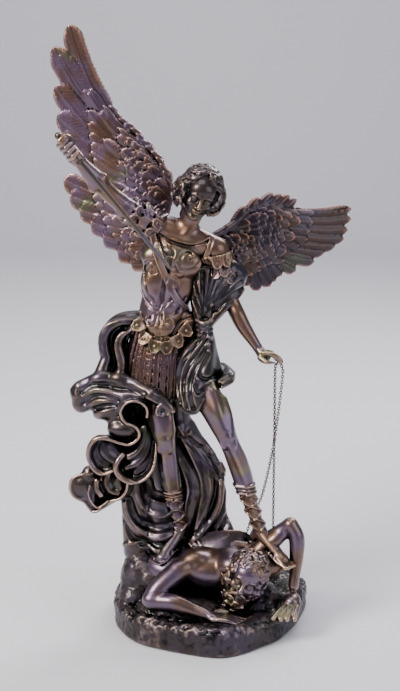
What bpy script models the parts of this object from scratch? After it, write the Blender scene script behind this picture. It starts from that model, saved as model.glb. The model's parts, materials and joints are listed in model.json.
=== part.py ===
"""An archangel with raised wings and sword, standing on a beaten demon and holding its chain.

The casting is one solid: figure, wings, cloth, demon and rock. The sword sits in a slot through the raised
fist, and the chain runs loose through the lowered hand. Sizes are in metres, +Z is up and the viewer is at -Y.
"""

import math

import bmesh
import bpy
import numpy as np
from mathutils import Matrix, Vector

# Overall sizes of the casting
FIGURE_HEIGHT = 0.745
BASE_WIDTH = 0.250
BASE_DEPTH = 0.222
BASE_THICKNESS = 0.030

# The pose is laid out on a grid of this many steps from the table to the tip of the raised wing
GRID_HEIGHT = 745.0
GRID_BASE = 30.0
UNIT = (FIGURE_HEIGHT - BASE_THICKNESS) / (GRID_HEIGHT - GRID_BASE)

# Sword
SWORD_LENGTH = 0.212
SWORD_GRIP_LENGTH = 0.040
SWORD_GRIP_DIAMETER = 0.0056
SWORD_BLADE_WIDTH = 0.0062
SWORD_BLADE_THICKNESS = 0.0026
SWORD_POINT_LENGTH = 0.016
SWORD_GUARD_LENGTH = 0.020
SWORD_GUARD_DIAMETER = 0.0042
SWORD_POMMEL_DIAMETER = 0.0086
SWORD_HOLD = 0.022

# Chain
CHAIN_LINK_PITCH = 0.0034
CHAIN_LINK_WIDTH = 0.0040
CHAIN_WIRE_DIAMETER = 0.0011

# Room between the casting and the two loose pieces
SWORD_CLEARANCE = 0.0003
CHAIN_CLEARANCE = 0.0004

# Fineness of the cast surface
SKIN_VOXEL = 0.0032
SKIN_TRIANGLES = 7900

# Feather sizes
FEATHER_THICKNESS = 0.0052
LONG_FEATHERS = 12
COVERT_ROWS = 3


def place(x, y, z):
    """A grid position as metres; the figure rides on the base's thickness."""
    return Vector((x * UNIT, y * UNIT, BASE_THICKNESS + (z - GRID_BASE) * UNIT))


def placed(points):
    """Grid positions as metres."""
    return [place(*p) for p in points]


def smooth_path(points, count):
    """Evenly spaced points on a smooth curve through the given ones."""
    pts = [np.array(p, float) for p in points]
    pts = [2 * pts[0] - pts[1]] + pts + [2 * pts[-1] - pts[-2]]
    fine = []
    for a, b, c, d in zip(pts, pts[1:], pts[2:], pts[3:]):
        for t in np.linspace(0, 1, 16, endpoint=False):
            fine.append(0.5 * (2 * b + (c - a) * t + (2 * a - 5 * b + 4 * c - d) * t * t
                               + (3 * b - a - 3 * c + d) * t ** 3))
    fine.append(pts[-2])
    fine = np.array(fine)
    along = np.concatenate([[0], np.cumsum(np.linalg.norm(np.diff(fine, axis=0), axis=1))])
    at = np.linspace(0, along[-1], count)
    return np.stack([np.interp(at, along, fine[:, k]) for k in range(fine.shape[1])], 1)


class Clay:
    """Overlapping closed shapes, gathered to be fused into one skin."""

    def __init__(self):
        self.mesh = bmesh.new()

    def ball(self, centre, radii, turn=(0.0, 0.0, 0.0)):
        """An ellipsoid on the grid, turned by degrees about x, y and z."""
        spin = Matrix.Rotation(math.radians(turn[2]), 4, "Z")
        spin = spin @ Matrix.Rotation(math.radians(turn[1]), 4, "Y")
        spin = spin @ Matrix.Rotation(math.radians(turn[0]), 4, "X")
        size = Matrix.Diagonal((*[r * UNIT for r in radii], 1.0))
        bmesh.ops.create_icosphere(
            self.mesh, subdivisions=3, radius=1.0,
            matrix=Matrix.Translation(place(*centre)) @ spin @ size)

    def loft(self, rings):
        """A closed skin over rings of points, with flat ends."""
        made = [[self.mesh.verts.new(p) for p in ring] for ring in rings]
        sides = len(rings[0])
        for low, high in zip(made, made[1:]):
            for k in range(sides):
                n = (k + 1) % sides
                self.mesh.faces.new((low[k], low[n], high[n], high[k]))
        self.mesh.faces.new(made[0][::-1])
        self.mesh.faces.new(made[-1])

    def tube(self, stations, sides=10, flat=1.0, facing=(0.0, -1.0, 0.0)):
        """A round or flattened limb through stations of (x, y, z, radius)."""
        count = max(2, 4 * (len(stations) - 1) + 1)
        path = smooth_path(stations, count)
        rings = []
        for i, (x, y, z, r) in enumerate(path):
            run = Vector((path[min(i + 1, count - 1)] - path[max(i - 1, 0)])[:3]).normalized()
            depth = Vector(facing) - run * run.dot(Vector(facing))
            depth.normalize()
            across = run.cross(depth)
            middle = place(x, y, z)
            ring = []
            for k in range(sides):
                a = 2 * math.pi * k / sides
                ring.append(middle + (across * math.cos(a) + depth * math.sin(a) * flat) * r * UNIT)
            rings.append(ring)
        self.loft(rings)
        if flat == 1.0:
            for x, y, z, r in (stations[0], stations[-1]):
                self.ball((x, y, z), (r, r, r))

    def blade(self, root, tip, width, thickness, facing, bow=0.0, blunt=0.55):
        """A feather or leather strip: a flat leaf with a raised middle rib."""
        root, tip, facing = Vector(root), Vector(tip), Vector(facing).normalized()
        run = tip - root
        across = run.normalized().cross(facing).normalized()
        face = across.cross(run.normalized())
        rings = []
        for t, w in ((0.0, 0.55), (0.25, 0.86), (0.6, 1.0), (0.87, 0.92), (1.0, blunt)):
            middle = root + run * t + across * bow * run.length * math.sin(math.pi * t)
            half = across * width * w / 2
            ridge = face * thickness / 2
            rings.append([middle - half - ridge * 0.3, middle + ridge, middle + half - ridge * 0.3,
                          middle - ridge])
        self.loft([[place(*p) for p in ring] for ring in rings])

    def sheet(self, edges, thickness, across=12, along=14):
        """Cloth lofted between edge curves, given thickness on both sides."""
        rows = [smooth_path(edge, along) for edge in edges]
        columns = np.array(rows).transpose(1, 0, 2)
        grid = np.array([smooth_path(column, across) for column in columns])
        normal = np.cross(np.gradient(grid, axis=0), np.gradient(grid, axis=1))
        normal /= np.maximum(np.linalg.norm(normal, axis=2, keepdims=True), 1e-9)
        rings = []
        for i in range(along):
            front = [place(*p) for p in grid[i] + normal[i] * thickness / 2]
            back = [place(*p) for p in grid[i] - normal[i] * thickness / 2]
            rings.append(front + back[::-1])
        made = [[self.mesh.verts.new(p) for p in ring] for ring in rings]
        sides = len(rings[0])
        for low, high in zip(made, made[1:]):
            for k in range(sides):
                n = (k + 1) % sides
                self.mesh.faces.new((low[k], low[n], high[n], high[k]))
        for end, step in ((made[0], -1), (made[-1], 1)):
            for k in range(across - 1):
                quad = (end[k], end[k + 1], end[sides - 2 - k], end[sides - 1 - k])
                self.mesh.faces.new(quad[::step])

    def finish(self, name):
        """The gathered shapes as one mesh object."""
        bmesh.ops.recalc_face_normals(self.mesh, faces=self.mesh.faces)
        bmesh.ops.triangulate(self.mesh, faces=self.mesh.faces)
        data = bpy.data.meshes.new(name)
        self.mesh.to_mesh(data)
        self.mesh.free()
        return bpy.data.objects.new(name, data)


def base_outline(count):
    """The rock's outline at the table, a rounded shape with a few broken corners."""
    shares = ((0.51, 0.29), (0.44, -0.04), (0.35, -0.25), (0.24, -0.37), (0.14, -0.46), (0.02, -0.50),
              (-0.19, -0.42), (-0.37, -0.30), (-0.47, -0.10), (-0.49, 0.08), (-0.47, 0.32), (-0.33, 0.46),
              (-0.08, 0.50), (0.18, 0.48), (0.39, 0.44))
    closed = shares[-2:] + shares + shares[:3]
    fine = smooth_path(closed, 8 * len(closed))
    angles = np.unwrap(np.arctan2(fine[:, 1], fine[:, 0]))
    order = np.argsort(angles)
    wanted = np.linspace(angles.max() - 2 * math.pi, angles.max(), count, endpoint=False)
    reach = np.interp(wanted, angles[order], np.hypot(fine[order, 0], fine[order, 1]))
    return [(BASE_WIDTH * r * math.cos(a), BASE_DEPTH * r * math.sin(a)) for a, r in zip(wanted, reach)]


def add_base(clay):
    """The low rock slab and the boulders that carry the two figures."""
    outline = base_outline(44)
    rings = []
    for height, size in ((-0.010, 1.0), (0.0, 1.0), (0.006, 0.985), (0.016, 0.965),
                         (BASE_THICKNESS - 0.004, 0.985), (BASE_THICKNESS, 0.95)):
        rings.append([Vector((x * size, y * size, height)) for x, y in outline])
    clay.loft(rings)
    for centre, radii, turn in (
            ((-62, 40, 48), (52, 50, 42), (0, 10, 0)),
            ((-88, 8, 52), (26, 30, 32), (0, 12, 0)),
            ((-72, -8, 62), (22, 20, 20), (0, 0, 20)),
            ((5, 45, 50), (60, 45, 38), (0, 0, 0)),
            ((70, 40, 38), (48, 48, 26), (0, 0, 15)),
            ((98, 5, 34), (24, 34, 20), (0, 0, 0)),
            ((-40, 78, 34), (60, 24, 26), (0, 0, 0)),
            ((60, -20, 36), (36, 34, 24), (0, 0, 0)),
            ((-40, -38, 34), (54, 30, 18), (0, 0, 0))):
        clay.ball(centre, radii, turn)


def add_torso(clay):
    """Cuirass, neck, head and hips."""
    clay.ball((-57, 2, 402), (31, 23, 34), (0, 6, 0))
    clay.ball((-50, 2, 440), (36, 25, 34), (0, 12, 0))
    clay.ball((-46, 2, 466), (39, 26, 28), (0, 18, 0))
    clay.ball((-60, -16, 466), (19, 13, 15), (0, 20, 0))
    clay.ball((-24, -14, 457), (18, 12, 15), (0, 20, 0))
    clay.tube([(-60, 4, 508, 16), (-34, 2, 496, 18), (4, 0, 480, 15)])
    clay.tube([(-30, 2, 490, 15), (-26, -4, 512, 14), (-18, -12, 532, 14)])
    clay.ball((-12, -18, 546), (21, 26, 29), (14, 22, 0))
    clay.ball((-17, -36, 524), (11, 10, 11), (14, 22, 0))
    clay.ball((-16, -46, 535), (4, 5, 8), (14, 22, 0))
    clay.ball((-60, 4, 352), (38, 28, 34), (0, 0, 0))


def add_hair(clay):
    """Short waves over the crown and loose curls beside the face."""
    turn = math.radians(22)
    for row, (lift, radius) in enumerate(((0.25, 27), (0.75, 20), (1.2, 10))):
        ring = []
        for k in range(15):
            a = 2 * math.pi * (k + 0.5 * (row % 2)) / 14
            x = radius * 0.86 * math.cos(a)
            y = radius * math.sin(a)
            z = 29 * math.sin(lift)
            ring.append((-12 + x * math.cos(turn) + z * math.sin(turn), -14 + y,
                         548 + z * math.cos(turn) - x * math.sin(turn), 5.5))
        for p in ring[:14]:
            if not (row == 0 and p[1] < -30):
                clay.ball(p[:3], (6.5, 6.5, 6.0))
    for x, y, z, r in ((-36, -22, 556, 8), (-40, -14, 545, 8), (-40, -6, 533, 7), (-34, 2, 524, 8),
                       (12, -20, 556, 8), (16, -12, 545, 8), (14, -6, 534, 8), (8, 0, 528, 8),
                       (-8, 10, 540, 17), (-16, 12, 526, 14), (4, 10, 526, 12)):
        clay.ball((x, y, z), (r, r, r))


def add_arms(clay):
    """The raised sword arm and the lowered chain arm, with their hands."""
    clay.tube([(-70, 2, 508, 16), (-92, -12, 524, 14), (-114, -28, 544, 12.5), (-136, -44, 568, 12),
               (-152, -56, 590, 8.5)])
    clay.ball((-70, 0, 510), (19, 19, 17), (0, -20, 0))
    clay.ball((-160, -62, 600), (14, 12, 12), (0, 40, 0))
    clay.tube([(-170, -70, 604, 5), (-168, -74, 592, 5), (-158, -70, 586, 5)])
    clay.tube([(-162, -72, 610, 5), (-158, -76, 598, 5), (-150, -70, 592, 5)])
    clay.tube([(10, 2, 478, 16), (20, 4, 452, 14), (28, 2, 426, 12), (42, -8, 392, 10.5), (56, -18, 366, 7.5)])
    clay.ball((66, -22, 355), (12, 8, 9), (0, 35, 0))
    for k, (x, z) in enumerate(((86, 346), (83, 343), (79, 341), (74, 342))):
        clay.tube([(70 + k * 1.5, -28 + k * 4, 352, 4.2), (x, -28 + k * 4, z + 3, 4), (x - 2, -26 + k * 4, z - 6, 3.4)])


def add_legs(clay):
    """Bare legs with laced sandals."""
    clay.tube([(-72, 0, 330, 24), (-66, -18, 286, 20), (-56, -28, 244, 14), (-54, -16, 205, 15),
               (-46, 0, 160, 12), (-38, 8, 122, 9)])
    clay.tube([(-40, 6, 112, 9), (-50, -6, 99, 9), (-64, -14, 89, 8), (-70, -19, 85, 6)])
    clay.ball((-34, 12, 110), (9, 11, 11))
    clay.tube([(-34, -2, 330, 26), (-6, -26, 300, 20), (24, -44, 264, 14), (36, -30, 232, 14),
               (52, -18, 180, 12), (62, -12, 132, 8.5)])
    clay.ball((24, -50, 262), (10, 9, 12), (0, 25, 0))
    clay.tube([(64, -10, 122, 9), (76, -22, 106, 9.5), (92, -36, 94, 8), (97, -42, 90, 6)])
    clay.ball((57, -2, 117), (9, 11, 11))
    for x, y, z, r in ((60, -13, 140, 11), (56, -15, 160, 13), (52, -17, 180, 14.5),
                       (-39, 8, 128, 11.5), (-43, 4, 146, 13), (-47, -1, 164, 15)):
        clay.ball((x, y, z), (r, r, 4.5), (0, 20 if x > 0 else -8, 0))


def add_skirt(clay):
    """The tabs under the cuirass and the long strips of the skirt."""
    strips = 22
    for k in range(strips):
        a = 2 * math.pi * k / strips
        top = (-57 + 33 * math.cos(a), 4 + 26 * math.sin(a), 378 - 6 * math.cos(a))
        foot = (-64 + 45 * math.cos(a), 4 + 37 * math.sin(a), 316 + 4 * math.cos(a) + 4 * math.sin(a))
        out = (math.cos(a), math.sin(a), 0.1)
        clay.blade(top, foot, 15, 8, out, blunt=0.85)
        if k % 2 == 0:
            tab = (-59 + 39 * math.cos(a), 4 + 31 * math.sin(a), 352 - 6 * math.cos(a) + 5 * math.sin(a))
            clay.blade((top[0], top[1], top[2] + 2), tab, 18, 9, out, blunt=0.7)
    clay.tube([(-92, -2, 322, 8), (-64, -22, 316, 9), (-36, -14, 320, 8)])
    clay.ball((-62, 4, 338), (38, 30, 24))


def wing(clay, bone, front, tips, roots, facing, width):
    """One wing: a bowed arm, long feathers along its trailing side and rows of short ones over their roots."""
    clay.tube(bone)
    clay.tube(front)
    tip_path = smooth_path(tips, LONG_FEATHERS)
    root_path = smooth_path(roots, LONG_FEATHERS)
    for k, (tip, root) in enumerate(zip(tip_path, root_path)):
        shift = np.array(facing) * (2.0 if k % 2 else -0.5)
        clay.blade(root + shift, tip + shift, width, FEATHER_THICKNESS / UNIT * 1.35, facing, bow=0.04)
    for row in range(COVERT_ROWS):
        count = LONG_FEATHERS + 1
        starts = smooth_path(roots, count)
        ends = smooth_path(tips, count)
        reach = (0.62, 0.42, 0.24)[row]
        for k in range(count - 1):
            mix = (starts[k] + starts[k + 1]) / 2
            out = (ends[k] + ends[k + 1]) / 2
            lift = np.array(facing) * (4.0 + 2.6 * row)
            clay.blade(mix + lift, mix + (out - mix) * reach + lift, width * (1.0 - 0.1 * row),
                       FEATHER_THICKNESS / UNIT * 1.2, facing, bow=0.03)


def add_wings(clay):
    """The raised wing over the sword arm and the spread wing over the chain arm."""
    wing(clay,
         [(-60, 28, 500, 15), (-62, 42, 545, 15), (-64, 50, 578, 13), (-90, 56, 615, 11), (-112, 60, 645, 9)],
         [(-58, 34, 534, 8), (-58, 46, 566, 8), (-80, 52, 596, 8), (-117, 57, 633, 7), (-141, 60, 668, 7),
          (-160, 60, 708, 6), (-169, 60, 733, 6)],
         [(-172, 60, 741), (-194, 64, 716), (-192, 67, 670), (-187, 67, 625), (-184, 65, 585), (-178, 60, 542),
          (-152, 52, 508), (-122, 46, 478), (-97, 40, 460)],
         [(-118, 60, 652), (-106, 60, 634), (-94, 57, 614), (-82, 54, 592), (-76, 49, 567), (-73, 44, 545),
          (-68, 38, 522)],
         (-0.1, -1.0, 0.05), 29)
    clay.sheet([[(-150, 60, 725), (-120, 60, 655), (-66, 48, 580), (-62, 36, 520)],
                [(-172, 63, 690), (-150, 62, 620), (-128, 55, 560), (-96, 42, 490)]], 9)
    wing(clay,
         [(-6, 24, 484, 13), (24, 38, 500, 13), (50, 52, 518, 12), (92, 74, 520, 9)],
         [(-4, 25, 485, 7), (24, 38, 496, 7), (50, 52, 520, 7), (76, 64, 528, 7), (98, 73, 523, 7),
          (144, 95, 511, 6), (172, 108, 510, 5)],
         [(180, 112, 514), (178, 109, 492), (156, 100, 468), (133, 90, 450), (108, 79, 441), (85, 67, 431),
          (62, 55, 419), (44, 47, 427)],
         [(97, 76, 515), (84, 70, 503), (70, 63, 497), (56, 56, 489), (40, 48, 484), (24, 39, 480), (14, 34, 477)],
         (0.35, -0.93, 0.1), 21)
    clay.sheet([[(170, 107, 508), (98, 75, 520), (40, 47, 500), (0, 26, 485)],
                [(140, 94, 478), (104, 78, 465), (64, 58, 450), (30, 42, 445)]], 9)


def add_cloth(clay):
    """The cloak over the chain shoulder, the swathe across the hip and the billowing cloth down to the rock."""
    knot = (-7, -24, 386)
    for x, y, z, r in ((-14, -14, 478, 8), (0, -14, 470, 8), (14, -10, 456, 8), (28, 0, 442, 8), (42, 14, 430, 8),
                       (48, 28, 420, 7)):
        clay.tube([(x, y, z, r), ((x + knot[0]) / 2 + 3, (y + knot[1]) / 2 - 2, (z + knot[2]) / 2 - 4, 7),
                   (*knot, 7)])
    clay.tube([(12, 0, 488, 15), (26, 6, 462, 15), (36, 10, 440, 13)])
    clay.ball(knot, (9, 9, 11))
    for x, y, z, r in ((-43, -44, 300, 8), (-36, -48, 290, 8), (-22, -50, 284, 8), (-6, -48, 284, 8), (6, -46, 298, 8),
                       (16, -36, 308, 8), (21, -16, 314, 8)):
        clay.tube([(*knot, 7), ((x + knot[0]) / 2, min(y, knot[1]) - 6, (z + knot[2]) / 2 + 6, 9), (x, y, z, r)])
    clay.tube([(-12, -8, 388, 9), (-10, -4, 366, 9), (4, 0, 338, 9), (19, 2, 318, 10)])
    clay.tube([(-8, -6, 472, 13), (-14, -2, 430, 15), (-14, -4, 396, 13)])
    clay.ball((-26, -8, 332), (34, 34, 36))
    for k in range(9):
        t = k / 8
        top = (-96 + 58 * t, 22 + 8 * math.sin(3 * t), 330, 13)
        middle = (-104 + 72 * t, 22 + 6 * math.cos(11 * t), 250 - 20 * t, 13)
        low = (-104 + 114 * t, 24 + 9 * math.cos(9 * t), 168, 13)
        foot = (-104 + 126 * t, 20 + 10 * math.cos(9 * t + 1), 92, 12)
        clay.tube([top, middle, low, foot])
    clay.tube([(-44, 26, 246, 9), (-20, 24, 212, 10), (14, 24, 170, 9), (22, 26, 132, 9), (26, 20, 100, 9)])
    outer = [(-84, 8, 392), (-112, 14, 391), (-136, 10, 376), (-139, 4, 356), (-134, 0, 338), (-148, -6, 318),
             (-163, -14, 306), (-160, -18, 288), (-140, -22, 278)]
    inner = [(-80, 24, 372), (-92, 30, 366), (-104, 30, 352), (-106, 28, 340), (-104, 26, 324), (-110, 24, 312),
             (-116, 22, 300), (-112, 20, 288), (-102, 20, 280)]
    clay.sheet([outer, inner], 8, across=6, along=26)
    clay.tube([(*p, 5) for p in outer])
    for path in ([(-88, -12, 388, 6), (-104, -12, 384, 7), (-120, -8, 370, 7), (-118, -8, 344, 7), (-112, -12, 322, 7)],
                 [(-86, -18, 376, 6), (-98, -20, 364, 6), (-106, -20, 346, 7), (-102, -20, 324, 7)],
                 [(-158, -8, 302, 12), (-130, -10, 304, 15), (-100, -12, 304, 14), (-78, -14, 306, 12)]):
        clay.tube(path)
    hem = [(-77, -38, 282), (-80, -42, 296), (-93, -44, 301), (-107, -42, 292), (-106, -40, 279), (-92, -40, 272),
           (-82, -40, 262), (-85, -40, 248), (-102, -40, 243), (-124, -40, 249), (-140, -36, 250), (-150, -32, 238),
           (-150, -32, 222), (-140, -34, 209), (-124, -38, 207), (-112, -40, 219)]
    deep = [(-70, -10, 286), (-78, 0, 300), (-96, 4, 306), (-118, 2, 296), (-118, 4, 276), (-104, 6, 262),
            (-100, 10, 254), (-100, 12, 244), (-106, 12, 238), (-116, 12, 240), (-126, 10, 240), (-130, 8, 232),
            (-130, 8, 222), (-124, 8, 214), (-116, 10, 214), (-108, 12, 222)]
    clay.sheet([hem, deep], 7, across=6, along=36)
    clay.tube([(*p, 4.2) for p in hem])
    lobe = [(-118, -30, 232), (-117, -42, 214), (-106, -45, 202), (-90, -45, 198), (-75, -42, 208), (-68, -36, 226),
            (-65, -30, 250)]
    lobe_deep = [(-104, 10, 234), (-104, 8, 218), (-98, 6, 208), (-90, 6, 206), (-84, 8, 212), (-80, 10, 226),
                 (-76, 12, 248)]
    clay.sheet([lobe, lobe_deep], 8, across=6, along=18)
    clay.tube([(*p, 5) for p in lobe])
    skirt = [(-132, -6, 212), (-148, -14, 205), (-164, -18, 199), (-172, -20, 184), (-166, -22, 170), (-150, -22, 154),
             (-134, -22, 158), (-112, -22, 168), (-98, -24, 184), (-92, -16, 200)]
    skirt_deep = [(-112, 16, 216), (-118, 14, 208), (-124, 14, 200), (-126, 14, 186), (-122, 14, 176),
                  (-116, 14, 164), (-108, 14, 164), (-100, 14, 170), (-94, 12, 184), (-88, 12, 200)]
    clay.sheet([skirt, skirt_deep], 8, across=6, along=26)
    clay.tube([(*p, 4.6) for p in skirt])
    clay.tube([(-112, 10, 300, 22), (-112, 12, 250, 22), (-104, 12, 200, 20), (-98, 16, 150, 16), (-98, 18, 95, 16)])
    clay.ball((-72, -26, 290), (12, 12, 12))
    sleeve = [(-114, -28, 530), (-111, -24, 505), (-101, -20, 482), (-93, -12, 458)]
    under = [(-100, -10, 512), (-94, -6, 500), (-90, -4, 488), (-86, 0, 474)]
    clay.sheet([sleeve, under], 6, across=5, along=10)


def add_demon(clay):
    """The beaten demon: face down, one arm bent in front, the other propped behind the head."""
    clay.ball((-4, -18, 80), (42, 34, 26), (0, 8, -10))
    clay.ball((-48, 0, 72), (40, 34, 24), (0, 12, -10))
    clay.tube([(-20, -26, 94, 16), (-44, -42, 82, 15), (-64, -54, 66, 14), (-74, -60, 54, 12)])
    clay.tube([(-74, -60, 52, 11), (-48, -66, 54, 12.5), (-20, -72, 46, 9.5), (-2, -78, 42, 7.5)])
    clay.ball((6, -82, 38), (12, 11, 7), (0, 15, 0))
    for k in range(4):
        clay.tube([(12, -88 + 5 * k, 38, 4), (28, -90 + 6 * k, 33, 3.8), (40 + 2 * k, -88 + 7 * k, 31, 3.4)])
    clay.ball((26, -40, 92), (20, 20, 18))
    clay.ball((46, -52, 80), (24, 24, 30), (0, 30, 0))
    clay.ball((36, -74, 72), (13, 10, 18), (0, 30, 0))
    clay.ball((34, -84, 70), (4, 5, 8), (0, 30, 0))
    for x, y, z, r in ((66, -44, 92, 9), (70, -48, 78, 9), (64, -60, 66, 9), (58, -40, 104, 9), (44, -40, 110, 9),
                       (22, -58, 62, 9), (34, -76, 50, 11), (46, -72, 52, 11), (26, -72, 54, 9), (56, -66, 56, 10),
                       (28, -54, 100, 8), (70, -36, 70, 10)):
        clay.ball((x, y, z), (r, r, r))
    clay.tube([(60, -14, 96, 14), (82, -12, 118, 13), (98, -16, 134, 11)])
    clay.tube([(102, -18, 138, 10), (108, -22, 110, 11.5), (106, -30, 76, 8.5), (104, -34, 62, 8)])
    clay.ball((100, -44, 48), (13, 17, 11))
    clay.tube([(94, -52, 46, 5), (84, -66, 40, 4.5), (76, -72, 37, 4)])
    clay.tube([(104, -54, 44, 5), (98, -70, 38, 4.5), (92, -76, 36, 4)])
    clay.ball((66, -16, 84), (30, 24, 22))
    clay.sheet([[(-20, 10, 120), (0, 6, 126), (24, 8, 122), (44, 14, 108)],
                [(-24, -6, 98), (0, -8, 100), (26, -6, 100), (46, 0, 94)]], 8, across=5, along=10)


def fused(raw, name):
    """The gathered shapes under one skin, with only its outside kept, at the wanted fineness."""
    bpy.context.scene.collection.objects.link(raw)
    skin = raw.modifiers.new("Skin", "REMESH")
    skin.mode = "VOXEL"
    skin.voxel_size = SKIN_VOXEL
    skin.adaptivity = 0.0
    solid = evaluated_copy(raw, name)
    bpy.data.objects.remove(raw)
    keep_largest(solid.data)
    faces = sum(len(p.vertices) - 2 for p in solid.data.polygons)
    thin = solid.modifiers.new("Fewer faces", "DECIMATE")
    thin.ratio = SKIN_TRIANGLES / faces
    thin.use_collapse_triangulate = True
    lighter = evaluated_copy(solid, name)
    bpy.data.objects.remove(solid)
    return lighter


def evaluated_copy(source, name):
    """A new object with the source's modifiers worked into its mesh."""
    bpy.context.view_layer.update()
    graph = bpy.context.evaluated_depsgraph_get()
    data = bpy.data.meshes.new_from_object(source.evaluated_get(graph))
    made = bpy.data.objects.new(name, data)
    bpy.context.scene.collection.objects.link(made)
    return made


def keep_largest(data):
    """Drops every loose shell but the largest."""
    work = bmesh.new()
    work.from_mesh(data)
    left = set(work.verts)
    shells = []
    while left:
        stack = [left.pop()]
        shell = []
        while stack:
            vert = stack.pop()
            shell.append(vert)
            for edge in vert.link_edges:
                other = edge.other_vert(vert)
                if other in left:
                    left.remove(other)
                    stack.append(other)
        shells.append(shell)
    shells.sort(key=len)
    print("shells:", [len(s) for s in shells][-6:])
    bmesh.ops.delete(work, geom=[v for shell in shells[:-1] for v in shell], context="VERTS")
    work.to_mesh(data)
    work.free()


def sword_frame():
    """Where the sword lies: +Z runs from the pommel to the point, +Y faces the viewer."""
    pommel, point = place(-176, -68, 620), place(-42, -48, 455)
    run = (point - pommel).normalized()
    face = (Vector((0, -1, 0)) + run * run.y).normalized()
    across = face.cross(run)
    frame = Matrix((across, face, run)).transposed().to_4x4()
    frame.translation = pommel
    return frame


def lathe_rings(profile, sides):
    """Rings of points about +Z from (radius across, radius deep, height) stations."""
    return [[Vector((a * math.cos(2 * math.pi * k / sides), b * math.sin(2 * math.pi * k / sides), z))
             for k in range(sides)] for a, b, z in profile]


def ring_mesh(rings, name):
    """A closed mesh over rings of points, with flat ends."""
    work = Clay()
    work.loft(rings)
    return work.finish(name)


def sword_shape(grow, name, only_grip=False):
    """The sword, or the same shape grown by a clearance to cut its slot."""
    half, thick = SWORD_BLADE_WIDTH / 2 + grow, SWORD_BLADE_THICKNESS / 2 + grow
    grip, ball = SWORD_GRIP_DIAMETER / 2 + grow, SWORD_POMMEL_DIAMETER / 2 + grow
    profile = [(ball * 0.5, ball * 0.5, -grow), (ball, ball, SWORD_POMMEL_DIAMETER * 0.3),
               (ball, ball, SWORD_POMMEL_DIAMETER * 0.7), (grip, grip, SWORD_POMMEL_DIAMETER + grow),
               (grip * 1.12, grip * 1.12, SWORD_GRIP_LENGTH * 0.5), (grip, grip, SWORD_GRIP_LENGTH)]
    guard = SWORD_GUARD_DIAMETER / 2 + grow
    profile += [(guard * 2.0, guard, SWORD_GRIP_LENGTH + 0.0006), (guard * 2.0, guard, SWORD_GRIP_LENGTH + 0.0036)]
    if not only_grip:
        profile += [(half, thick, SWORD_GRIP_LENGTH + 0.0052), (half * 0.94, thick, SWORD_LENGTH * 0.6),
                    (half * 0.8, thick * 0.9, SWORD_LENGTH - SWORD_POINT_LENGTH),
                    (half * 0.06, thick * 0.1, SWORD_LENGTH)]
    else:
        profile += [(half, thick, SWORD_GRIP_LENGTH + 0.0052), (half, thick, SWORD_LENGTH * 0.5)]
    made = ring_mesh(lathe_rings(profile, 8), name)
    made.matrix_world = sword_frame()
    return made


def chain_path():
    """The chain's run: demon's neck, up through the hand and down to the demon's arm."""
    up = [(46, 4, 118), (54, 6, 142), (65, 4, 168), (76, -12, 228), (83, -20, 285), (87, -23, 330), (86, -23, 338)]
    over = [(84, -22, 343), (81, -21, 342)]
    down = [(78, -20, 336), (78, -19, 280), (78, -17, 200), (78, -14, 128)]
    points = smooth_path(up + over + down, 400)
    return np.array([place(*p) for p in points])


def chain_shape(grow, name, sides=4):
    """The chain as fused links, turned a quarter from one to the next; grown, it cuts its own way."""
    path = chain_path()
    steps = np.linalg.norm(np.diff(path, axis=0), axis=1)
    along = np.concatenate([[0], np.cumsum(steps)])
    links = int(along[-1] / CHAIN_LINK_PITCH)
    at = np.linspace(0, along[-1], links + 1)
    middle = np.stack([np.interp(at, along, path[:, k]) for k in range(3)], 1)
    wide, thin = CHAIN_LINK_WIDTH / 2, CHAIN_WIRE_DIAMETER * 0.62
    rings = []
    face = Vector((0, -1, 0))
    for k, point in enumerate(middle):
        run = Vector(middle[min(k + 1, links)] - middle[max(k - 1, 0)]).normalized()
        face = (face - run * run.dot(face)).normalized()
        across = run.cross(face)
        a, b = (wide, thin) if k % 2 else (thin, wide)
        if grow:
            a = b = wide + grow
        ring = []
        for s in range(sides):
            angle = 2 * math.pi * (s + 0.5 * (sides > 4)) / sides
            ring.append(Vector(point) + across * a * math.cos(angle) + face * b * math.sin(angle))
        rings.append(ring)
    return ring_mesh(rings, name)


def cut(target, cutter):
    """Cuts one mesh from the target for good."""
    knife = target.modifiers.new("Cut " + cutter.name, "BOOLEAN")
    knife.operation = "DIFFERENCE"
    knife.solver = "EXACT"
    knife.use_self = True
    knife.object = cutter


def bronze(name, colour, roughness):
    """A metal finish."""
    made = bpy.data.materials.new(name)
    made.use_nodes = True
    surface = made.node_tree.nodes["Principled BSDF"]
    surface.inputs["Base Color"].default_value = (*colour, 1.0)
    surface.inputs["Metallic"].default_value = 0.9
    surface.inputs["Roughness"].default_value = roughness
    made.diffuse_color = (*colour, 1.0)
    return made


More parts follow.
